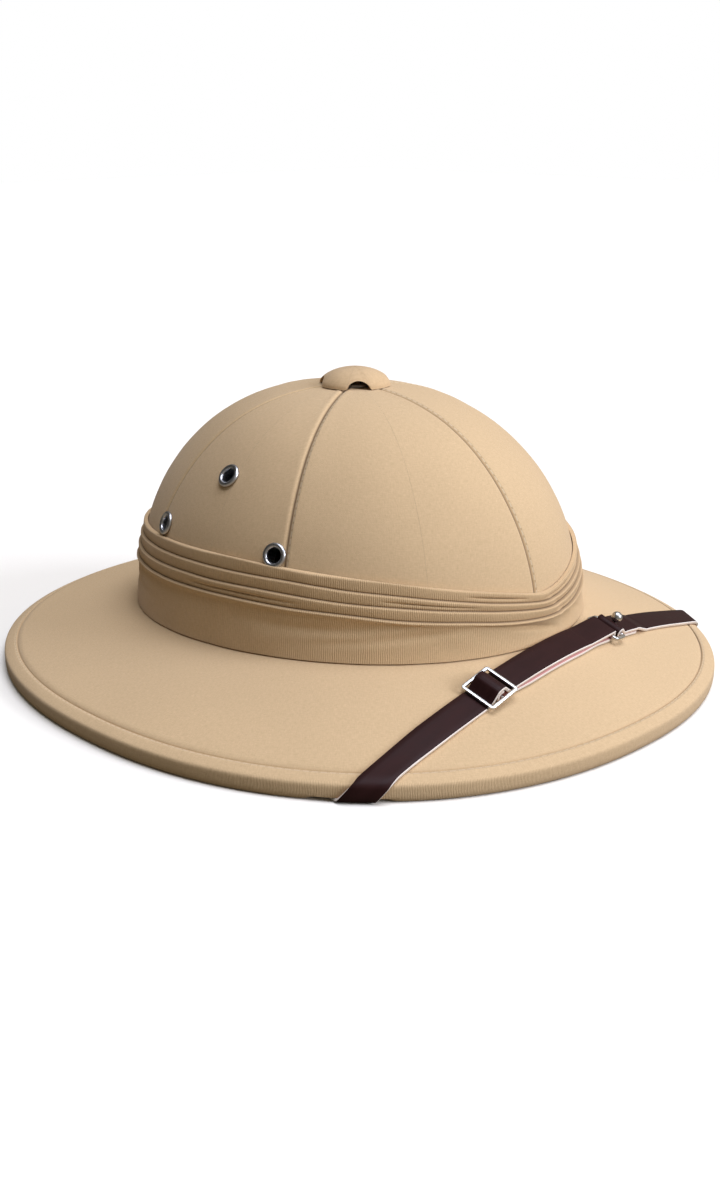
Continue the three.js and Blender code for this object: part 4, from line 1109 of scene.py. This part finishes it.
def build_band():
    folds = BAND_FOLDS
    steps = band_steps()

    def point(column, row):
        turn = 2 * math.pi * column / BAND_COLUMNS
        degrees = math.degrees(turn)
        foot = junction_level(turn) + GAP + BAND_CLEARANCE
        if row >= len(steps):
            share = BAND_INNER_SHARES[::-1][row - len(steps)]
            up = lerp(foot, fold_level(folds[-1], turn), share)
            return crown_point(turn, up) + sideways(turn) * BAND_LINING
        step = steps[row]
        level = fold_level(folds[step["fold"]], turn) + band_wander(turn, step["fold"])
        if "to" in step:
            below = fold_level(folds[step["to"]], turn) + band_wander(turn, step["to"])
            up = lerp(level + EDGE_UNDER[-1]["off"], below + PLEAT_FOOT, step["share"])
            sunk = GATHER_DEPTH * gathered(step["fold"], degrees)
            thick = step["thick"] - sunk * math.exp(-((step["share"] - 0.5) / GATHER_HALF) ** 2)
        elif "foot" in step:
            share = step["foot"]
            up = lerp(level + EDGE_UNDER[-1]["off"], foot, share)
            belly = math.sin(math.pi * share) * BAND_RIPPLE["depth"]
            ripple = round_noise(turn, BAND_RIPPLE["round"], share * BAND_RIPPLE["up"])
            start = folds[0]["under"] - EDGE_UNDER[-1]["less"]
            thick = lerp(start, BAND_FOOT_THICKNESS, smooth(share * BAND_FOOT_THINNING))
            thick += belly * ripple - BAND_HOLLOW * math.sin(math.pi * share ** 0.5)
            thick -= crease_depth(degrees, up - foot) * CREASE_DEPTH
        else:
            up = level + step["off"]
            thick = step["thick"]
        thick += lap_height(degrees_from(degrees, folds[step["fold"]]["crossing"]))
        thick += round_noise(turn, BAND_RUFFLE["round"], up * BAND_RUFFLE["up"]) * BAND_RUFFLE["depth"]
        return crown_point(turn, up) + sideways(turn) * (GAP + max(BAND_THINNEST, thick))

    total = len(steps) + len(BAND_INNER_SHARES)
    heights = row_lengths(point, BAND_COLUMNS // 4, total)
    heights.append(heights[-1])

    def measure(column, row, start):
        return 2 * math.pi * BAND_RADIUS * column / BAND_COLUMNS, heights[row]

    def from_fold(column, row, start):
        step = steps[row] if row < len(steps) else {"foot": 1}
        off = step.get("off", AWAY_FROM_FOLD)
        # A finer pleat's middle row is put on the painted shadow line, the rows beside it off it
        if "to" in step and abs(step["share"] - 0.5) < GATHER_REACH:
            deep = gathered(step["fold"], 360 * column / BAND_COLUMNS)
            off = lerp(AWAY_FROM_FOLD, GATHER_SHADOW_LINE if step["share"] == 0.5 else -GATHER_SHADOW_LINE, deep)
        return off, 2 * math.pi * BAND_RADIUS * column / BAND_COLUMNS

    piece = surface("pleated_band", BAND_COLUMNS, total, point, True, True, measure, from_fold)
    dress(piece, "band_cloth", BAND_CLOTH)
    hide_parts("pugree_band")


# Eyelets and vent cap

def eyelet_places():
    found = []
    for side, sign in (("right", 1), ("left", -1)):
        for entry in EYELETS:
            turn = math.radians(sign * entry["turn"])
            up = BASE_LEVEL + entry["rise"]
            found.append((f"{side}_{entry['name']}", crown_point(turn, up), crown_normal(turn, up)))
    return found


def build_eyelets():
    back = -CROWN_WALL - GAP - EYELET["back_gap"]
    hole, tube, radius = EYELET["hole"], EYELET["tube"], EYELET["radius"]
    edge = EYELET["edge"]
    profile = [(hole, back - EYELET["back"])]
    profile += [(radius - row["in"], back - EYELET["back"] * row["down"]) for row in EYELET_FLANGE]
    profile += [(tube, back), (tube, GAP), (radius - edge, GAP), (radius, GAP + edge)]
    middle = (radius + hole) / 2
    half = (radius - hole) / 2
    rise = EYELET["roll"] - EYELET["foot"]
    for degrees in EYELET_ROLL:
        angle = math.radians(degrees)
        profile.append((middle + half * math.cos(angle), GAP + EYELET["foot"] + rise * math.sin(angle)))
    profile.append((hole, GAP))
    for name, at, direction in eyelet_places():
        piece = turned(f"eyelet_ring_{name}", profile, EYELET["sides"])
        seat(piece, facing(at, direction))
        dress(piece, "eyelet_metal", EYELET_METAL)
        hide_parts(f"eyelet_{name}")


def cap_arch(turn):
    spacing = 2 * math.pi / CAP["arches"]
    off = (turn - math.radians(CAP["turn"]) + spacing / 2) % spacing - spacing / 2
    share = off / math.radians(CAP["half_angle"])
    return CAP["arch"] * math.sqrt(max(0, 1 - share * share))


def build_cap():
    foot = crown_level_at(CAP["radius"], 0) + GAP
    bar_top = crown_level_at(VENT_HOLE_RADIUS, 0) - COLLAR_BAR_DROP
    outer = CAP_OUTER_SHARES
    inner = CAP_INNER_SHARES
    centre, stem = CAP["centre"], CAP["stem"]
    roof = foot + CAP["height"] - CAP["wall"]
    under = [(centre, foot + CAP["height"]), (centre, bar_top + GAP), (stem, bar_top + GAP),
             (stem, roof - CAP["stem_short"])]

    def shell(turn, inset, share):
        lift = cap_arch(turn)
        height = CAP["height"] - inset
        up = lift + (height - lift) * share
        radius = (CAP["radius"] - inset) * math.sqrt(max(0, 1 - (up / height) ** CAP["rounding"]))
        return place(radius * math.cos(turn), radius * math.sin(turn), foot + up)

    def point(column, row):
        turn = 2 * math.pi * column / CAP["columns"]
        if row < len(outer):
            hem = CAP_HEM["depth"] * (1 - smooth(abs(outer[row] - CAP_HEM["at"]) / CAP_HEM["half"]))
            return shell(turn, 0, outer[row]) - place(math.cos(turn), math.sin(turn), 0) * hem
        row -= len(outer)
        if row < len(under):
            radius, up = under[row]
            return place(radius * math.cos(turn), radius * math.sin(turn), up)
        return shell(turn, CAP["wall"], inner[row - len(under)])

    rows = len(outer) + len(under) + len(inner)
    piece = surface("vent_cap_cover", CAP["columns"], rows, point, True, True)
    dress(piece, "cap_cloth", CAP_CLOTH)
    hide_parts("vent_cap")


# Chin strap

def deck(right):
    """A point on the strap's line over the brim, with the directions along, across and away from it."""
    step = 0.5

    def ground(r, shift=0):
        forward = strap_forward(r) + shift
        return place(forward, r, brim_top(forward, r))
    run = (ground(right + step) - ground(right - step)).normalized()
    slope = ground(right, step) - ground(right, -step)
    y = (slope - run * slope.dot(run)).normalized()
    return ground(right), run, y, run.cross(y).normalized()


def on_deck(piece, right, lift, tilt=0):
    origin, x, y, z = deck(right)
    matrix = Matrix((x, y, z)).transposed().to_4x4() @ Matrix.Rotation(tilt, 4, "Y")
    matrix.translation = origin + z * lift
    seat(piece, matrix)


def across(centre, direction, half=STRAP_WIDTH / 2):
    return centre + direction * half, centre - direction * half


def deck_rows(path):
    rows = []
    for right, lift, *out in path:
        origin, _, y, z = deck(right)
        rows.append(across(origin + z * lift + y * sum(out), y))
    return rows


def arc(centre_right, centre_lift, radius, start, end, steps):
    angles = [math.radians(lerp(start, end, i / steps)) for i in range(steps + 1)]
    return [(centre_right + radius * math.cos(a), centre_lift + radius * math.sin(a)) for a in angles]


def straight(start, end, lift):
    steps = max(1, round(abs(start - end) / STRAP_STEP))
    return [(lerp(start, end, i / steps), lift) for i in range(steps + 1)]


def turn_rows(turn):
    side = turn["side"]
    rows = []
    for (start, end), entry in zip(turn_angles(**turn), TURN_SECTION):
        rows.append((at_rim(side * start, entry["inset"], entry["up"]),
                     at_rim(side * end, entry["inset"], entry["up"])))
    return rows


def between(start, end, count):
    """Rows laid evenly between two rows."""
    shares = [k / (count + 1) for k in range(1, count + 1)]
    return [(start[0].lerp(end[0], share), start[1].lerp(end[1], share)) for share in shares]


def eased(rows, first, last):
    """The same rows, with the ones from first to last drawn towards their neighbours."""
    for _ in range(EASING_ROUNDS):
        drawn = [tuple((a + b * 2 + c) / 4 for a, b, c in zip(rows[i - 1], rows[i], rows[i + 1]))
                 for i in range(first, last + 1)]
        rows = rows[:first] + drawn + rows[last + 1:]
    return rows


def middle_of(row):
    return (row[0] + row[1]) / 2


def spline(points):
    """Points along one smooth curve through the given ones."""
    found = []
    for i in range(len(points) - 1):
        a, b, c, d = (points[min(max(i + k, 0), len(points) - 1)] for k in (-1, 0, 1, 2))
        for step in range(SPLINE_STEPS):
            t = step / SPLINE_STEPS
            found.append(0.5 * ((2 * b) + (c - a) * t + (2 * a - 5 * b + 4 * c - d) * t * t
                                + (3 * b - a - 3 * c + d) * t ** 3))
    return found + [points[-1]]


def hidden_rows(side, start):
    """The strap's way under the brim and up inside the crown, out of sight."""
    entry = place(ENTRY["forward"], side * ENTRY["right"], ENTRY["up"])
    points = [start]
    for row in UNDER_BRIM:
        points.append(start.lerp(entry, row["share"]) - Vector((0, 0, row["sag"])))
    points += [place(row["forward"], side * row["right"], row["up"]) for row in INSIDE_CROWN]
    leans = [0] + [row["lean"] for row in UNDER_BRIM + INSIDE_CROWN]
    curve = spline(points)
    rows = []
    for i in range(1, len(curve)):
        whole = min(i // SPLINE_STEPS, len(points) - 2)
        lean = math.radians(lerp(leans[whole], leans[whole + 1], i / SPLINE_STEPS - whole))
        heading = (curve[min(i + 1, len(curve) - 1)] - curve[i - 1]).normalized()
        outwards = Vector((heading.y, -heading.x, 0)).normalized()
        if outwards.x * side > 0:
            outwards.negate()
        downwards = heading.cross(outwards).normalized()
        if downwards.z > 0:
            downwards.negate()
        rows.append(across(curve[i], outwards * -math.cos(lean) - downwards * math.sin(lean)))
    return rows


def ribbon(name, rows):
    """A strap through rows across it, with rounded edges and faces for its grain, edge and flesh."""
    firsts = spline([row[0] for row in rows])
    seconds = spline([row[1] for row in rows])
    middles = [(a + b) / 2 for a, b in zip(firsts, seconds)]
    sides = len(STRAP_SECTION)

    def point(column, row):
        run = middles[min(column + 1, len(middles) - 1)] - middles[max(column - 1, 0)]
        over = (firsts[column] - seconds[column]) / 2
        face = over.cross(run).normalized() * HALF
        entry = STRAP_SECTION[row]
        return middles[column] + over * entry["across"] + face * entry["thick"]

    piece = surface(name, len(middles) - 1, sides, point, ring_rows=True)
    looks = {"grain": 0, "edge": 1, "flesh": 2}
    rows_of = piece.data.attributes["row"].data
    for polygon in piece.data.polygons:
        row = rows_of[polygon.index].value
        side_face = len(polygon.vertices) == 4
        face = STRAP_SECTION[row % sides]["face"] if side_face else "edge"
        polygon.material_index = looks[face]
    return piece


def build_long_strap():
    near_bar = BUCKLE["right"] + BUCKLE_ARM
    far_bar = BUCKLE["right"] - BUCKLE_ARM
    loop_bar = LOOP["right"] + LOOP_ARM
    turn = turn_rows(TURNS["right"])
    hidden = hidden_rows(1, middle_of(turn[-1]))
    start_right = -middle_of(turn[0]).x
    back_at = BUCKLE["right"] - LONG_RUN["back_at_buckle"]
    lower = straight(loop_bar + LONG_RUN["off_loop"], back_at, FIRST_LAYER)
    last = len(lower) - 1
    lower = [(*spot, LOWER_LAYER_OUT * smooth(4 * min(i, last - i) / last))
             for i, spot in enumerate(lower)]
    path = (straight(start_right - TURN_CLEAR, near_bar - LONG_RUN["to_buckle"], FIRST_LAYER)
            + arc(BUCKLE["right"], BUCKLE_LIFT, HUMP, **HUMP_ARC)
            + straight(far_bar + LONG_RUN["off_buckle"], far_bar - LONG_RUN["sinking"], SECOND_LAYER)
            + straight(far_bar - LONG_RUN["sunk"], loop_bar + LONG_RUN["to_loop"], SECOND_LAYER)
            + arc(loop_bar, LOOP_LIFT, LOOP_WRAP, **LOOP_ARC)
            + lower
            + arc(BUCKLE["right"], BUCKLE_LIFT, WRAP, **WRAP_ARC))
    on_brim = deck_rows(path)
    rows = hidden[::-1] + turn[::-1] + between(turn[0], on_brim[0], TURN_JOIN_ROWS) + on_brim
    start = len(hidden) + len(turn)
    before, after = LONG_RUN["eased"]
    rows = eased(rows, start + before, start + after)
    piece = ribbon("chin_strap_long_leather", rows)
    dress(piece, "strap_leather", STRAP_GRAIN, STRAP_EDGE, STRAP_FLESH)
    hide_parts("chin_strap_long")


def build_short_strap():
    loop_bar = LOOP["right"] - LOOP_ARM
    turn = turn_rows(TURNS["left"])
    end_right = -middle_of(turn[0]).x
    path = (straight(loop_bar - SHORT_RUN["tip"], loop_bar - SHORT_RUN["to_loop"], FIRST_LAYER)
            + arc(loop_bar, LOOP_LIFT, LOOP_WRAP, **SHORT_ARC)
            + straight(loop_bar - SHORT_RUN["off_loop"], loop_bar - SHORT_RUN["sinking"], SECOND_LAYER)
            + straight(loop_bar - SHORT_RUN["sunk"], end_right + TURN_CLEAR, FIRST_LAYER))
    on_brim = deck_rows(path)
    hidden = hidden_rows(-1, middle_of(turn[-1]))
    rows = on_brim + between(on_brim[-1], turn[0], TURN_JOIN_ROWS) + turn + hidden
    start = len(on_brim)
    before, after = SHORT_RUN["eased"]
    rows = eased(rows, start + before, start + after)
    piece = ribbon("chin_strap_short_leather", rows)
    dress(piece, "strap_leather", STRAP_GRAIN, STRAP_EDGE, STRAP_FLESH)
    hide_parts("chin_strap_short")


def bent_bar(name, length, width, bend, half_across, half_thick, round_share):
    """A rectangular ring swept from one bar, with rounded corners."""
    half_long = length / 2 - half_across - bend
    half_wide = width / 2 - half_across - bend
    stops = []
    for x, y, start in ((half_long, half_wide, 0), (-half_long, half_wide, 90),
                        (-half_long, -half_wide, 180), (half_long, -half_wide, 270)):
        stops += [(x, y, math.radians(start + CORNER_STEP * k)) for k in range(CORNER_ROWS)]

    def point(column, row):
        x, y, angle = stops[column]
        turn = 2 * math.pi * (row + 0.5) / RING_SIDES
        c, s = math.cos(turn), math.sin(turn)
        out = half_across * math.copysign(abs(c) ** round_share, c)
        up = half_thick * math.copysign(abs(s) ** round_share, s)
        return Vector((x + (bend + out) * math.cos(angle), y + (bend + out) * math.sin(angle), up))

    return surface(name, len(stops), RING_SIDES, point, True, True)


def build_buckle():
    half_bar = BUCKLE["bar"] / 2 * BUCKLE["slimmed"]
    half_thick = BUCKLE["thickness"] / 2
    frame_piece = bent_bar("slide_buckle_frame", BUCKLE["length"], BUCKLE["width"],
                           half_bar + BUCKLE["corner"], half_bar, half_thick, BUCKLE["squareness"])
    reach = BUCKLE["width"] / 2 - half_bar

    def point(column, row):
        turn = 2 * math.pi * row / BAR_SIDES
        return Vector((BUCKLE["middle"] / 2 * math.cos(turn), lerp(-reach, reach, column / BAR_ROWS),
                       half_thick * BUCKLE["middle_slimmed"] * math.sin(turn)))

    bar = surface("slide_buckle_bar", BAR_ROWS, BAR_SIDES, point, ring_rows=True)
    piece = join(frame_piece, bar)
    on_deck(piece, BUCKLE["right"], BUCKLE_LIFT, math.atan2(BUCKLE_FAR - BUCKLE_NEAR, 2 * BUCKLE_ARM))
    dress(piece, "strap_metal", STRAP_METAL)
    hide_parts("slide_buckle")


def build_loop():
    piece = bent_bar("strap_loop_wire", LOOP["length"], LOOP["width"], LOOP["bend"], LOOP["wire"],
                     LOOP["wire"], 1)
    piece.data.transform(Matrix.Translation((0, LOOP["outward"] * MM, 0)))
    on_deck(piece, LOOP["right"], LOOP_LIFT)
    dress(piece, "strap_metal", STRAP_METAL)
    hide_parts("strap_loop")


def build_stud():
    profile = [(0, GAP), (STUD["neck"], GAP)]
    for i in range(STUD["rows"] + 1):
        angle = math.radians(lerp(STUD["under"], 90, i / STUD["rows"]))
        radius = STUD["ball"] * math.cos(angle) if i < STUD["rows"] else 0
        profile.append((radius, STUD["lift"] + STUD["ball"] * math.sin(angle)))
    piece = turned("ball_stud_knob", profile, STUD["sides"], closed=False)
    on_deck(piece, STUD["right"], 0)
    dress(piece, "strap_metal", STRAP_METAL)
    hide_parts("ball_stud")


def keep_node(name, material):
    node = bpy.data.objects[name]
    node.data.materials.clear()
    node.data.materials.append(material)


# Floor, light and camera

def build_studio():
    clear()
    bpy.ops.mesh.primitive_plane_add(size=FLOOR_WIDTH)
    floor = bpy.context.object
    floor.name = "studio_floor"
    material, tree, shader = new_material("pale studio floor")
    seen = tree.nodes.new("ShaderNodeLightPath").outputs["Is Camera Ray"]
    pale = mix_colour(tree, seen, FLOOR_BOUNCE, FLOOR_SEEN)
    tree.links.new(pale, shader.inputs["Base Color"])
    for title, value in FLOOR_FINISH.items():
        shader.inputs[title].default_value = value
    floor.data.materials.append(material)

    world = bpy.data.worlds.new("studio light")
    bpy.context.scene.world = world
    world.use_nodes = True
    background = world.node_tree.nodes["Background"]
    tree = world.node_tree
    seen = tree.nodes.new("ShaderNodeLightPath").outputs["Is Camera Ray"]
    towards = tree.nodes.new("ShaderNodeVectorMath")
    towards.operation = "DOT_PRODUCT"
    tree.links.new(tree.nodes.new("ShaderNodeTexCoord").outputs["Generated"], towards.inputs[0])
    towards.inputs[1].default_value = WORLD_LIGHT["from"]
    share = math_node(tree, "MULTIPLY_ADD", towards.outputs["Value"], 0.5, 0.5, clamp=True)
    share = math_node(tree, "POWER", share, WORLD_LIGHT["falloff"])
    low, high = WORLD_LIGHT["dark"], WORLD_LIGHT["bright"]
    glow = math_node(tree, "MULTIPLY_ADD", share, high - low, low)
    strength = math_node(tree, "MAXIMUM", glow, seen)
    tree.links.new(mix_colour(tree, seen, WORLD_LIGHT["colour"], (1, 1, 1)), background.inputs["Color"])
    tree.links.new(strength, background.inputs["Strength"])

    for entry in LAMPS:
        lamp = bpy.data.lights.new(entry["name"], "SUN")
        lamp.angle = math.radians(entry["softness"])
        lamp.energy = entry["power"]
        lamp.color = LAMP_COLOUR
        light = bpy.data.objects.new(entry["name"], lamp)
        bpy.context.collection.objects.link(light)
        light.location = entry["at"]
        light.rotation_euler = (-Vector(entry["at"])).to_track_quat("-Z", "Y").to_euler()

    camera = bpy.data.objects.new("camera", bpy.data.cameras.new("camera"))
    bpy.context.collection.objects.link(camera)
    camera.location = Vector(CAMERA_AT) * MM
    direction = (Vector(CAMERA_AIM) - Vector(CAMERA_AT)) * MM
    camera.rotation_euler = direction.to_track_quat("-Z", "Y").to_euler()
    camera.data.lens = CAMERA_LENS
    camera.data.sensor_width = CAMERA_SENSOR
    camera.data.shift_x, camera.data.shift_y = CAMERA_SHIFT
    camera.data.clip_start = CAMERA_NEAR
    bpy.context.scene.camera = camera
    bpy.context.scene.view_settings.view_transform = "Standard"


build_studio()
build_crown()
build_brim()
build_band()
build_cap()
build_eyelets()
build_long_strap()
build_short_strap()
build_buckle()
build_loop()
build_stud()
keep_node("vent_collar", VENT_METAL)
keep_node("strap_rivet_right", STRAP_METAL)
keep_node("strap_rivet_left", STRAP_METAL)
